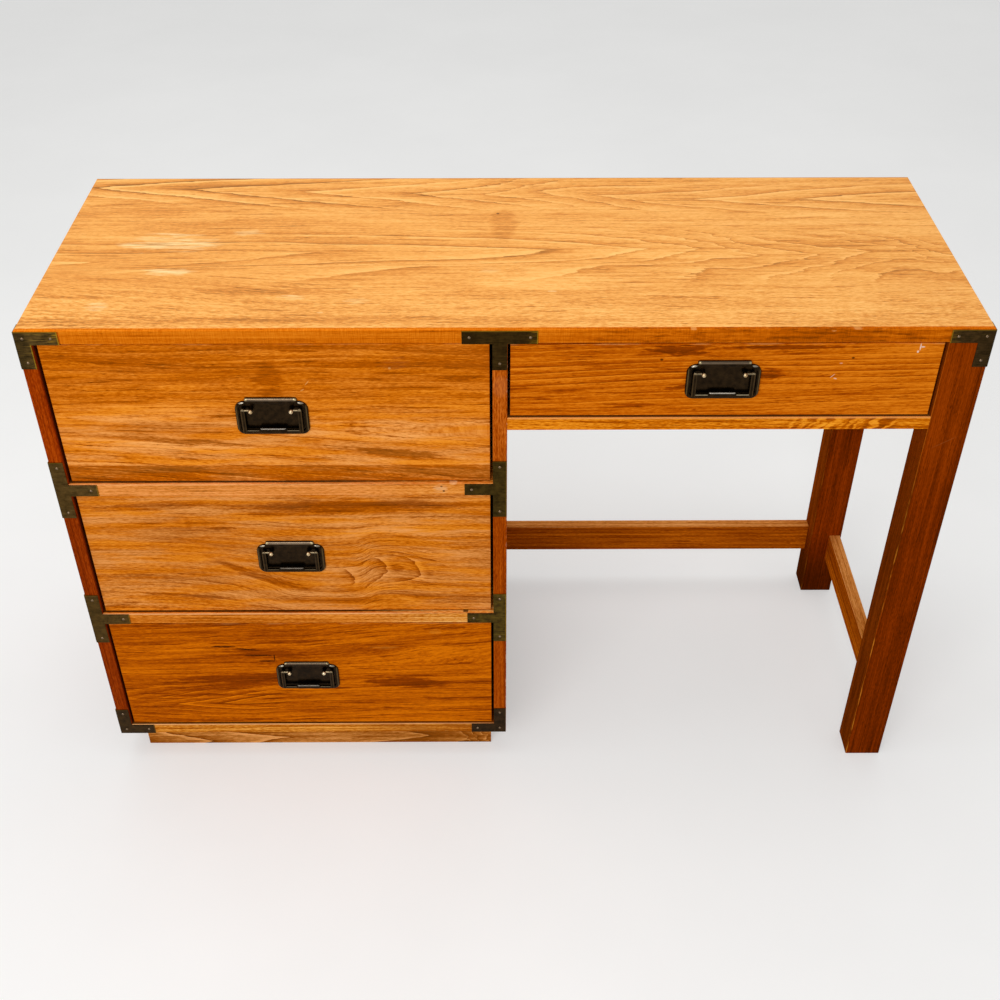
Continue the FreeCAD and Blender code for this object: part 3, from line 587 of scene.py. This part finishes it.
# The spine through the noses, (x, z), and the outline of the outermost nose, (z, x).
EYE_SPINE = (
    (-620, 428), (-500, 426), (-420, 418), (-348, 400), (-268, 374), (-215, 376), (-169, 396), (-110, 388),
    (-30, 384)
)
NOSE = (
    (300, -1150), (326, -760), (346, -480), (360, -310), (371, -205), (385, -173), (396, -169), (408, -174),
    (420, -190), (428, -240), (440, -370), (456, -600), (484, -1060), (535, -2000)
)
SPINE_HEIGHT = 392.0
MIDDLE_FRONT_SPOTS = (
    (-0.2, (-225, 513), (190, 17), 0.03, 2),
    (-0.15, (-480, 517), (110, 9), 0.06, 2),
    (-0.1, (-470, 462), (110, 7), -0.05, 2),
    (-0.12, (-240, 340), (130, 9), -0.03, 2.2),
    (-0.12, (-470, 346), (100, 9), 0, 2.2),
    (-0.16, (-156, 399), (15, 12), 0, 2.5),
    (-0.14, (-112, 392), (13, 10), 0, 2.5),
    (0.08, (-150, 470), (90, 10), 0, 2.2),
    (0.08, (-90, 430), (50, 14), 0, 2.2),
    (-0.12, (-70, 338), (66, 8), 0, 2.4),
    (-0.24, (-397, 477), (28, 3), 0, 3),
)


def middle_drawer_wood():
    """Blunt noses on a spine that dips under the pull and rises again, under a long dark lens."""
    board = Board("middle drawer front wood", "xzy", 47.0)
    low, high = edges_of("middle_drawer_front")
    u = board.u + 12.0 * board.streaks(18.0, 8.0, 3.0, 0.6, shift=11.0)
    v = board.v + board.streaks(210.0, 30.0, 3.0, shift=1.0) * 9.0
    spine = board.through(u, list(EYE_SPINE)) - SPINE_HEIGHT
    bent = v - spine * abs(v - SPINE_HEIGHT).ramp(125.0, 10.0)
    rings = (board.through(bent, list(NOSE)) - u) / 48.0 + (board.w - low[1]) / 9.0
    at_noses = board.blot((-160, 398), (84, 52), soft=0.6)
    shade = board.shade(bent / 12.0, level=0.57, ring=0.08, band=0.37, fine=0.7, bent=bent)
    shade = shade + 0.42 * board.ring_shade(rings) * at_noses
    shade = board.clouded(shade, MIDDLE_FRONT_SPOTS)
    shade = shade - 0.2 * board.blot((-348, 384), (88, 9), slope=-0.45, bow=12.0, ragged=2.0)
    orange = palette((170, 80, 0), (206, 108, 8), (232, 138, 34), 1.06)
    tan = palette((166, 84, 18), (204, 122, 46), (232, 152, 78), 1.06)
    colour = board.two_tone(shade, orange, tan)
    return board.lacquer(front_wear(board, low, high, colour, 0.4), shade)


BOTTOM_FRONT_SPOTS = (
    (-0.24, (-400, 178), (120, 12), 0.03, 2),
    (-0.18, (-430, 160), (90, 8), 0.1, 2),
    (-0.3, (-150, 168), (66, 14), -0.06, 3),
    (-0.16, (-360, 232), (70, 10), -0.05, 3),
    (-0.12, (-260, 232), (150, 9), 0.12, 2),
)
BOTTOM_FRONT_CRACKS = (
    (0.85, (-424, 247), (24, 1.8), 0, 3, 0.6),
    (0.85, (-388, 241), (20, 1.6), -0.12, 3, 0.6),
    (0.85, (-372, 228), (26, 1.6), 0, 3, 0.6),
    (0.85, (-360, 216), (15, 1.6), 0, 3, 0.6),
    (0.85, (-349, 223), (1.2, 8), 0, 0, 0.6),
)
BOTTOM_FRONT_SCUFFS = (
    (1, (-103, 277), (9, 7), 0, 3.5, 0.8),
    (1, (-184, 244), (26, 4), 0, 3.5, 0.8),
)


def bottom_drawer_wood():
    """Grain that fans out to the right, with nested tips at the left and dark streaks."""
    board = Board("bottom drawer front wood", "xzy", 59.0)
    low, high = edges_of("bottom_drawer_front")
    wander = board.streaks(220.0, 26.0, 3.0, shift=1.0) * 9.0
    fan = 0.1 * (board.u + 300.0).most(0.0) * board.v.ramp(190.0, 250.0)
    v = board.v + wander - fan
    u = board.u + 10.0 * board.streaks(16.0, 7.0, 3.0, 0.6, shift=11.0)
    off = abs(v - board.through(u, [(-620, 116), (-512, 120), (-444, 123), (-300, 138), (-20, 150)]))
    tips = board.through(u, [(-620, -1.6), (-512, 0.0), (-444, 1.0), (-360, 1.8), (-20, 2.4)])
    rings = off / 11.0 - tips * off.ramp(60.0, 24.0) + (board.w - low[1]) / 9.0
    shade = board.shade(rings, level=0.53, ring=0.12, band=0.5, hair=0.3, bent=v)
    shade = shade + 0.06 * board.u.ramp(-420.0, -160.0)
    shade = shade + 0.3 * board.ring_shade(rings) * board.blot((-440, 124), (120, 44), soft=0.5)
    shade = board.clouded(shade, BOTTOM_FRONT_SPOTS)
    colour = board.colours(shade, palette((146, 61, 0), (182, 86, 0), (214, 112, 4), 1.1))
    colour = board.paint(colour, board.marks(BOTTOM_FRONT_CRACKS), CRACK)
    scuffs = board.fibres(board.marks(BOTTOM_FRONT_SCUFFS))
    colour = board.paint(colour, scuffs * 0.35, tone(226, 146, 46))
    return board.lacquer(front_wear(board, low, high, colour, 0.4), shade)


KNEE_FRONT_SPOTS = (
    (-0.4, (226, 768), (46, 9), 0, 4.5),
    (-0.35, (350, 772), (90, 4), 0, 2.5),
    (-0.35, (338, 733), (19, 9), 0, 4),
    (-0.35, (225, 712), (30, 4), 0.1, 3),
)
KNEE_FRONT_KNOTS = (
    (0.8, (440, 756), (2.4, 1.8), 0, 0, 0.7),
    (0.8, (198, 754), (2.6, 2), 0, 0, 0.7),
)
KNEE_FRONT_CHIPS = (
    (0.85, (520, 765), (1.5, 2), 0, 0, 0.5),
    (0.85, (522, 772), (0.9, 6), 0, 0, 0.5),
    (0.85, (525, 772), (3, 1.1), 0, 0, 0.5),
    (0.595, (418, 729), (3.2, 0.8), 1, 0, 0.6),
    (0.595, (422, 725), (2.6, 1), -0.2, 0, 0.6),
    (0.34, (426, 748), (2.4, 1), 0, 0, 0.6),
)


def knee_drawer_wood():
    """Even lines that rise over one wide hill, with two knots and a chipped upper right corner."""
    board = Board("knee drawer front wood", "xzy", 71.0)
    low, high = edges_of("knee_drawer_front")
    wander = board.streaks(300.0, 26.0, 3.0, shift=1.0) * 6.0
    v = board.v + wander - 0.012 * board.u - 0.04 * (board.u - 330.0).most(0.0)
    rings = v / 9.0 + board.hill((280, 730), (220, 60), -1.3)
    rings = rings + (board.w - low[1]) / 9.0
    shade = board.shade(rings, level=0.57, ring=0.28, band=0.3, streak=0.4, pore=0.4, hair=0.26, bent=v)
    shade = shade + 0.08 * board.u.ramp(180.0, 500.0) - 0.03
    shade = board.clouded(shade, KNEE_FRONT_SPOTS)
    colour = board.colours(shade, palette((168, 72, 0), (198, 97, 2), (226, 125, 20), 1.08))
    colour = board.paint(colour, board.marks(KNEE_FRONT_KNOTS), CRACK)
    colour = board.paint(colour, board.marks(KNEE_FRONT_CHIPS), tone(252, 222, 200))
    return board.lacquer(front_wear(board, low, high, colour, 0.6), shade)


# ---- frame, legs and plinth ----
def upright_shade(board, streak, fine):
    """Dense frame wood with straight fine grain."""
    rings = plain_rings(board, 6.0, 3.0, depth=6.0)
    return board.shade(rings, ring=0.15, band=0.45, streak=streak, fine=fine, pore=0.4, hair=0.12)


STILE_WIDTH = 19.05            # millimetres
BETWEEN_STILES = -300.0        # an x in the drawer opening between the two


def stile_wood():
    """The two strips in front of the side and the divider: one red, one orange and paler higher up."""
    board = Board("front stile wood", "zxy", 83.0)
    low, high = edges_of("front_stiles")
    shade = upright_shade(board, 0.75, 0.95)
    left_low = board.colours(shade, palette((120, 38, 0), (138, 49, 3), (158, 62, 6), 1.08))
    left_high = board.colours(shade, palette((136, 44, 0), (156, 56, 2), (176, 72, 6), 1.08))
    left = board.mix(board.u.ramp(520.0, 600.0), left_low, left_high)
    right_low = board.colours(shade, palette((134, 50, 0), (152, 62, 1), (172, 78, 8), 1.2))
    right_high = board.colours(shade, palette((150, 58, 0), (184, 88, 12), (206, 108, 30), 1.14))
    right = board.mix(board.u.ramp(530.0, 600.0), right_low, right_high)
    on_right = board.v.ramp(BETWEEN_STILES, BETWEEN_STILES + 10.0)
    colour = board.mix(on_right, left, right)
    worn = board.worn_edge(board.arris(high[0], low[1]), 1.8, 9.0, 0.0)
    colour = board.paint(colour, worn * 0.7, tone(236, 190, 150))
    # Painted shade on the inner faces of the two stiles, from about the depth of the drawer fronts inward.
    left_face, right_face = low[0] + STILE_WIDTH, high[0] - STILE_WIDTH
    inner = board.v.ramp(left_face - 0.2, left_face - 0.1) * (1.0 - on_right)
    inner = inner + board.v.ramp(right_face + 0.2, right_face + 0.1) * on_right
    inner = inner * board.w.ramp(low[1] + 3.5, low[1] + 5.5)
    colour = board.paint(colour, inner * 0.85, tone(92, 38, 5))
    pink = board.blot((716, -6), (20, 12)) * 0.2
    colour = board.paint(colour, pink, tone(214, 130, 70))
    return board.lacquer(colour, shade)


def leg_wood(node, seed, wear, gain=1.0):
    """Dark red-brown, lighter towards the top, with a rubbed arris at the front."""
    board = Board(wood_name(node), "zxy", seed)
    low, _ = edges_of(node)
    shade = upright_shade(board, 0.5, 0.55)
    dark = board.colours(shade, palette((86, 29, 0), (110, 38, 0), (132, 49, 2), gain * 1.32))
    light = board.colours(shade, palette((116, 42, 0), (142, 54, 0), (164, 66, 4), gain * 0.98))
    colour = board.mix(board.u.ramp(480.0, 660.0), dark, light)
    # Painted light: the leg's left face gets a paler, more orange copy of the wood, tuned to the shade that
    # falls on that face.
    side = board.colours(shade, palette((112, 48, 2), (134, 62, 6), (156, 76, 12), gain))
    colour = board.mix(board.v.ramp(low[0] + 0.4, low[0] + 0.1) * 0.6, colour, side)
    # Painted shade: darker towards the floor, on the back leg.
    foot = board.u.ramp(150.0, 30.0) * (board.w.ramp(0.0, 100.0) * 0.6)
    colour = board.paint(colour, foot, tone(30, 10, 1))
    rubbed = board.worn_edge(board.arris(low[0], low[1]), 1.9, 40.0, -0.08)
    rubbed = rubbed * (board.u.ramp(640.0, 300.0) * 0.8 + 0.2)
    colour = board.paint(colour, rubbed * wear, tone(222, 138, 40))
    scratch = board.blot((626, 582), (12, 1.2), slope=1.6, soft=0.6)
    colour = board.paint(colour, scratch * 0.25, tone(180, 108, 60))
    return board.lacquer(colour, shade, specular=0.0)


def stretcher_wood(node, axes, seed):
    """Brown, with its upper face rubbed to a paler tan."""
    board = Board(wood_name(node), axes, seed)
    _, high = edges_of(node)
    shade = board.shade(plain_rings(board, 8.0, 4.0))
    colour = board.colours(shade, palette((114, 46, 0), (140, 64, 2), (170, 88, 8), 1.8))
    patches = board.noise(board.u / 90.0, board.v / 5.0, board.w / 2.0, 3.0, 0.6).ramp(-0.4, 0.05)
    top_face = board.v.ramp(high[2] - 1.6, high[2] - 0.3) * patches
    rubbed = board.colours(shade, palette((196, 112, 40), (230, 148, 70), (250, 176, 100)))
    colour = board.mix(top_face * 0.9, colour, rubbed)
    return board.lacquer(colour, shade, specular=0.0)


def case_wood(node, axes, seed):
    """Plain stained wood of the sides and the aprons."""
    board = Board(wood_name(node), axes, seed)
    shade = board.shade(plain_rings(board, 9.0, 4.0))
    return board.lacquer(board.colours(shade, palette(*CASE_TONES)), shade)


def plinth_wood():
    """Pale board with a row of arrow-shaped darker arches."""
    board = Board("plinth wood", "xzy", 97.0)
    u = board.u + 30.0 * board.streaks(24.0, 7.0, 3.0, shift=3.0)
    fold = abs(board.v - board.through(u, [(-600, 8), (-489, 5), (-373, 13), (-133, 17), (-60, 8)]))
    tips = [(-600, -1.0), (-489, 0.0), (-373, 1.0), (-133, 2.0), (-60, 3.0)]
    rings = board.through(u, tips) + fold / 30.0 + board.w / 60.0
    shade = board.shade(rings, ring=0.42, band=0.2, drift=0.4)
    shade = shade - 0.16 * board.u.ramp(-330.0, -60.0)
    colour = board.colours(shade, palette((144, 76, 12), (182, 114, 46), (214, 146, 78), 1.3))
    return board.lacquer(colour, shade, rough=0.52)


def box_wood(name, axes, seed, gain=1.0):
    """Bare secondary wood of drawer boxes, runners and guides."""
    board = Board(name, axes, seed)
    shade = board.shade(plain_rings(board, 11.0, 5.0), band=0.3, streak=0.35, fine=0.4, pore=0.2)
    colour = board.colours(shade, palette(*BARE, gain))
    return board.lacquer(colour, shade, rough=0.62)


# ---------------------------------------- metals
DARK_BRONZE = tone(24, 15, 5)
PALE_BRONZE = tone(46, 32, 15)
GOLD_RIM = tone(172, 130, 22)
METALLIC = 0.95                # of the pulls and brads, whose grime is no mirror
STRAP_RELIEF = 0.00004         # metres
PULL_RELIEF = 0.00002
BRAD_RELIEF = 0.00003

# Measures of the straps and the pulls in millimetres, as they are made.
STRAP_LEG = 19.4               # from a strap's outer side to its leg's inner edge
TOP_BAR_HALF = 34.25           # half the length of the plate's raised bar
TOP_BAR_RISE = 5.5             # its height above the plate's shoulders
BAIL_ARM = 5.5                 # width of the bail's arms
BAIL_BAR = 4.3                 # height of its bottom bar
GRIP_HALF = 18.0               # half the length of its raised grip
GRIP_TOP = 7.2                 # the grip's upper edge above the bail's foot

# How bright the painted highlights, partly rubbed brass, are on each pull's plate and bail.
PULL_SHINE = {"top": (0.35, 0.26), "middle": (0.4, 0.16), "bottom": (0.25, 0.22), "knee": (0.3, 1.0)}


def line_at(value, middle, half):
    """1 along a thin line where value passes middle, 0 past half on either side."""
    return abs(value - middle).ramp(half, half * 0.45)


def strap_brass(node, tones, yellow, golden, seed):
    """Old brass plate: brushed brown-green tarnish, rubbed yellow in streaks and at its inner end."""
    deep, middle, worn = [tone(*each) for each in tones]
    finish = Finish(node.replace("_", " "))
    x, y, z = finish.x, finish.y, finish.z
    low, high = edges_of(node)
    inner, outer = (low[0], high[0]) if low[0] > 0.0 else (high[0], low[0])
    cloud = finish.noise(x / 9.0 + seed, y / 9.0, z / 9.0 + seed, 4.0, 0.6)
    rub = finish.noise(x / 26.0 + seed, y / 5.0, z / 2.2, 3.0, 0.65)
    brushed = finish.noise(x / 16.0 + seed, y / 4.0, z / 1.4, 3.0, 0.65)
    tarnish = cloud * (1.0 - 0.4 * golden) + brushed * (0.8 * golden)
    colour = finish.mix(tarnish.ramp(-0.22, 0.2), deep, middle)
    colour = finish.mix((rub + brushed * (0.5 * golden)).ramp(0.02, 0.3) * yellow, colour, worn)
    colour = finish.mix(abs(x - outer).ramp(24.0, 4.0) * golden * 0.6, colour, deep)
    to_end = abs(x - inner)
    tip = to_end.ramp(16.0, 3.0) * (rub + brushed).ramp(-0.1, 0.3) * (0.8 * golden ** 2)
    # Gold at the inner end, along the top edge and, on the top left strap, the leg's inner edge: partly
    # worn brass, partly painted highlight where these edges catch the light.
    rims = to_end.ramp(1.6, 0.8).most(z.ramp(high[2] - 1.2, high[2] - 0.5) * 0.6)
    if node == "top_left_bracket":
        leg = line_at(x, low[0] + STRAP_LEG, 1.2) * z.ramp(high[2] - 17.0, high[2] - 19.0)
        rims = rims.most(leg * 0.7)
    colour = finish.mix((rims * (rub + 0.8)).most(tip) * golden, colour, GOLD_RIM)
    roughness = 0.42 + 0.35 * cloud
    height = finish.noise(x / 1.3, y / 1.3, z / 0.7, 3.0, 0.7)
    return finish.coat(colour, roughness, height, STRAP_RELIEF, metallic=1.0)


class Bronze(Finish):
    """Dark clouded bronze on one piece of a pull; out is a place's distance from its middle."""

    def __init__(self, name, node):
        super().__init__(name)
        self.cloud = self.noise(self.x / 7.0, self.y / 7.0, self.z / 7.0, 4.0, 0.6)
        self.colour = self.mix(self.cloud.ramp(-0.25, 0.25), DARK_BRONZE, PALE_BRONZE)
        self.low, self.high = edges_of(node)
        self.half = (self.high[0] - self.low[0]) / 2.0
        self.out = abs(self.x - (self.low[0] + self.high[0]) / 2.0)

    def rub(self, mask, colour):
        """Paints another colour over the bronze where the mask says, for rubbed brass and painted
        highlights.
        """
        self.colour = self.mix(mask, self.colour, colour)

    def polish(self, rough=0.24):
        height = self.noise(self.x / 0.9, self.y / 0.9, self.z / 0.9, 3.0, 0.6)
        return self.coat(self.colour, rough + 0.2 * self.cloud, height, PULL_RELIEF, metallic=METALLIC)


def plate_bronze(drawer, shine):
    """Dark bronze plate with painted highlights, partly rubbed brass, on its top bar, its shoulders and the
    crest of its rim.
    """
    plate = Bronze(drawer + " pull plate bronze", drawer + "_drawer_pull_plate")
    out, half, top, front = plate.out, plate.half, plate.high[2], plate.low[1]
    shoulder = top - TOP_BAR_RISE
    proud = plate.y.ramp(front + 2.4, front + 1.2)
    proud_grain = proud * (plate.noise(plate.x / 11.0, plate.y / 2.0, plate.z / 1.2, 3.0, 0.65) + 0.8)
    sides = line_at(out, half - 2.2, 1.0) * plate.z.ramp(shoulder + 0.5, shoulder - 5.0)
    plate.rub(sides * proud_grain * 0.5, tone(122, 100, 62))
    shoulders = out.ramp(TOP_BAR_HALF, TOP_BAR_HALF + 2.0) * out.ramp(half - 0.6, half - 4.0)
    shoulders = shoulders * line_at(plate.z, shoulder - 1.8, 1.5)
    plate.rub(shoulders * proud_grain * 0.7, tone(190, 180, 160))
    bar = out.ramp(TOP_BAR_HALF + 0.4, TOP_BAR_HALF - 0.4) * line_at(plate.z, top - 2.2, 2.2)
    plate.rub(bar * proud_grain * shine, tone(192, 166, 137))
    # Painted glints at the two ends of the top bar.
    tips = line_at(out, TOP_BAR_HALF - 2.2, 2.4) * line_at(plate.z, top - 2.0, 1.8)
    plate.rub(tips * proud * shine, tone(250, 232, 170))
    return plate.polish()


def bail_bronze(drawer, shine):
    """Dark bronze bail with painted highlight lines, partly rubbed brass, along its outer arms and over its
    bottom bar and grip.
    """
    bail = Bronze(drawer + " bail bronze", drawer + "_drawer_bail")
    out, half, foot, top = bail.out, bail.half, bail.low[2], bail.high[2]
    inside = half - BAIL_ARM
    grain = bail.noise(bail.x / 9.0, bail.y / 2.0, bail.z / 9.0, 3.0, 0.65) + 0.8
    arms = line_at(out, half - 0.9, 0.9) + line_at(out, inside + 0.8, 0.8) * 0.6
    bail.rub(arms * grain * 0.36, tone(112, 88, 54))
    bar = out.ramp(GRIP_HALF, GRIP_HALF + 0.8) * out.ramp(inside + 0.5, inside - 0.5)
    bail.rub(bar * line_at(bail.z, foot + BAIL_BAR - 0.8, 0.9) * grain * shine, tone(160, 146, 116))
    grip = out.ramp(GRIP_HALF + 0.8, GRIP_HALF) * line_at(bail.z, foot + GRIP_TOP - 0.6, 0.7)
    bail.rub(grip * grain * shine, tone(218, 208, 192))
    pins = bail.z.ramp(top - 3.2, top - 2.0) * out.ramp(half - 0.4, half - 1.4)
    bail.rub(pins * grain * 0.6, tone(176, 156, 120))
    return bail.polish()


def post_brass(drawer):
    """A ball head painted pale brass, partly worn and partly a painted highlight, on a post and collar that
    stay dark.
    """
    post = Bronze(drawer + " post brass", drawer + "_drawer_pull_posts")
    brass = post.mix(post.cloud.ramp(-0.2, 0.2), tone(168, 140, 96), tone(232, 212, 176))
    post.rub(post.y.ramp(post.low[1] + 5.6, post.low[1] + 4.6), brass)
    return post.polish(0.2)


def brad_brass():
    finish = Finish("brad brass")
    cloud = finish.noise(finish.x / 1.6, finish.y / 1.6, finish.z / 1.6, 3.0, 0.6)
    colour = finish.mix(cloud.ramp(-0.2, 0.2), tone(84, 66, 42), tone(150, 124, 98))
    return finish.coat(colour, 0.34 + 0.2 * cloud, cloud, BRAD_RELIEF, metallic=METALLIC)


# ---------------------------------------- which finish goes where
def dress(node, material):
    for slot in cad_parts[node].material_slots:
        slot.material = material


def dress_case():
    finishes = {
        "desk_top": desk_top_wood(),
        "top_front_edging": edging_wood(),
        "upper_rail": upper_rail_wood(),
        "lower_rail": lower_rail_wood(),
        "bottom_rail": bottom_rail_wood(),
        "knee_rail": knee_rail_wood(),
        "front_stiles": stile_wood(),
        "side_panel": case_wood("side_panel", "zyx", 101.0),
        "centre_divider": case_wood("centre_divider", "zyx", 103.0),
        "front_leg": leg_wood("front_leg", 107.0, 0.9),
        "back_leg": leg_wood("back_leg", 109.0, 0.2, 1.15),
        "back_stretcher": stretcher_wood("back_stretcher", "xzy", 113.0),
        "side_stretcher": stretcher_wood("side_stretcher", "yzx", 127.0),
        "back_apron": case_wood("back_apron", "xzy", 131.0),
        "side_apron": case_wood("side_apron", "yzx", 137.0),
        "plinth_front": plinth_wood(),
        "plinth_frame": box_wood("plinth frame wood", "yzx", 139.0, 0.8),
        "pedestal_back": box_wood("back panel wood", "zxy", 149.0, 0.8),
        "pedestal_bottom": box_wood("pedestal bottom wood", "xyz", 151.0, 0.8),
    }
    for node, wood in finishes.items():
        dress(node, wood)
    runner = box_wood("runner wood", "yxz", 157.0)
    for node in ("pedestal_runners", "knee_runners", "centre_guides"):
        dress(node, runner)


# Each strap's deep, middle and worn brass, how yellow its streaks are and how golden its rims.
STRAP_TONES = {
    "top_left_bracket": (((44, 33, 14), (98, 75, 36), (160, 128, 52)), 0.6, 1.0),
    "top_centre_bracket": (((34, 22, 6), (62, 44, 16), (110, 92, 34)), 0.2, 0.8),
    "top_right_bracket": (((36, 26, 8), (72, 52, 26), (120, 100, 44)), 0.2, 0.7),
    "upper_left_bracket": (((56, 40, 12), (96, 72, 34), (124, 108, 60)), 0.3, 0.5),
    "upper_centre_bracket": (((40, 28, 6), (70, 54, 18), (108, 92, 40)), 0.25, 0.3),
    "lower_left_bracket": (((54, 38, 8), (90, 66, 26), (124, 104, 52)), 0.25, 0.4),
    "lower_centre_bracket": (((44, 30, 6), (88, 70, 22), (140, 118, 50)), 0.45, 0.5),
    "bottom_left_bracket": (((40, 26, 6), (66, 46, 18), (104, 86, 40)), 0.2, 0.2),
    "bottom_centre_bracket": (((34, 22, 6), (58, 40, 18), (90, 70, 34)), 0.15, 0.1),
}


def dress_straps():
    for count, (node, (tones, yellow, golden)) in enumerate(STRAP_TONES.items()):
        dress(node, strap_brass(node, tones, yellow, golden, count * 5.7))
    dress("bracket_brads", brad_brass())


def dress_drawers():
    fronts = {
        "top": top_drawer_wood(), "middle": middle_drawer_wood(),
        "bottom": bottom_drawer_wood(), "knee": knee_drawer_wood(),
    }
    sides = box_wood("drawer side wood", "yzx", 163.0, 1.1)
    backs = box_wood("drawer back wood", "xzy", 167.0, 1.1)
    panels = box_wood("drawer bottom wood", "xyz", 173.0, 1.1)
    for drawer, wood in fronts.items():
        stem = drawer + "_drawer_"
        dress(stem + "front", wood)
        dress(stem + "sides", sides)
        dress(stem + "back", backs)
        dress(stem + "bottom", panels)
        plate, bail = PULL_SHINE[drawer]
        dress(stem + "pull_plate", plate_bronze(drawer, plate))
        dress(stem + "bail", bail_bronze(drawer, bail))
        dress(stem + "pull_posts", post_brass(drawer))


# ---------------------------------------- floor, light and camera
FLOOR_HALF = 14.0              # metres
FLOOR_DROP = 0.0003            # just under the feet, so that no two faces share a plane
FLOOR_RELIEF = 0.0002
FLOOR_GLOW = 0.4               # what the floor adds to its look, and not to the light


def lay_floor():
    """A flat pale floor that looks nearly white and keeps the desk's shadow."""
    h = FLOOR_HALF
    mesh = bpy.data.meshes.new("floor")
    mesh.from_pydata([(-h, -h, 0), (h, -h, 0), (h, h, 0), (-h, h, 0)], [], [(0, 1, 2, 3)])
    floor = bpy.data.objects.new("floor", mesh)
    bpy.context.scene.collection.objects.link(floor)
    floor.location.z = -FLOOR_DROP
    finish = Finish("pale floor")
    cloud = finish.noise(finish.x / 700.0, finish.y / 700.0, 0.0, 4.0, 0.6)
    colour = finish.mix(cloud.ramp(-0.4, 0.4), tone(192, 192, 191), tone(202, 202, 201))
    glow = finish.mix(finish.seen(), BLACK, tone(253, 253, 252))
    glow = (glow, FLOOR_GLOW)
    mesh.materials.append(finish.coat(colour, 0.8, cloud, FLOOR_RELIEF, specular=0.2, glow=glow))


ROOM_LIGHT = 0.45              # what the room sheds on things, where 1 is white
ROOM_SEEN = 0.66               # what it looks like, as pale as the floor far off


def light_room():
    """An even pale room and two large soft lamps, one overhead and one in front."""
    world = bpy.data.worlds.new("room")
    bpy.context.scene.world = world
    world.use_nodes = True
    room = Shading(world.node_tree)
    strength = ROOM_LIGHT + (ROOM_SEEN - ROOM_LIGHT) * room.seen()
    room.end(room.node("Background", inputs={"Color": WHITE, "Strength": strength}), "World")
    # Name, place and aim in metres, width and height in metres, power in watts.
    lamps = (
        ("overhead", (-0.3, 0.2, 2.9), (0.0, 0.0, 0.6), 3.0, 2.2, 34.0),
        ("front", (-1.2, -3.2, 2.4), (0.0, 0.0, 0.5), 2.4, 1.8, 64.0),
    )
    for name, place, aim, width, height, power in lamps:
        data = bpy.data.lights.new(name, "AREA")
        data.shape = "RECTANGLE"
        data.size = width
        data.size_y = height
        data.energy = power
        lamp = bpy.data.objects.new(name, data)
        bpy.context.scene.collection.objects.link(lamp)
        lamp.location = place
        toward = [a - p for a, p in zip(aim, place)]
        flat = math.hypot(toward[0], toward[1])
        lamp.rotation_euler = (math.atan2(flat, -toward[2]), 0.0, math.atan2(-toward[0], toward[1]))


EYE = (-0.01331, -1.59435, 1.63583)     # metres
LOOK_DOWN = 38.694                      # degrees below level
LOOK_RIGHT = 0.283                      # degrees
FOCAL_SHARE = 1.29127                   # focal length over the picture's width
SENSOR = 36.0                           # millimetres


def set_camera():
    data = bpy.data.cameras.new("camera")
    data.sensor_width = SENSOR
    data.lens = SENSOR * FOCAL_SHARE
    camera = bpy.data.objects.new("camera", data)
    bpy.context.scene.collection.objects.link(camera)
    camera.location = EYE
    camera.rotation_euler = (math.radians(90.0 - LOOK_DOWN), 0.0, -math.radians(LOOK_RIGHT))
    bpy.context.scene.camera = camera


dress_case()
dress_straps()
dress_drawers()
lay_floor()
light_room()
set_camera()
bpy.context.scene.view_settings.view_transform = "Standard"
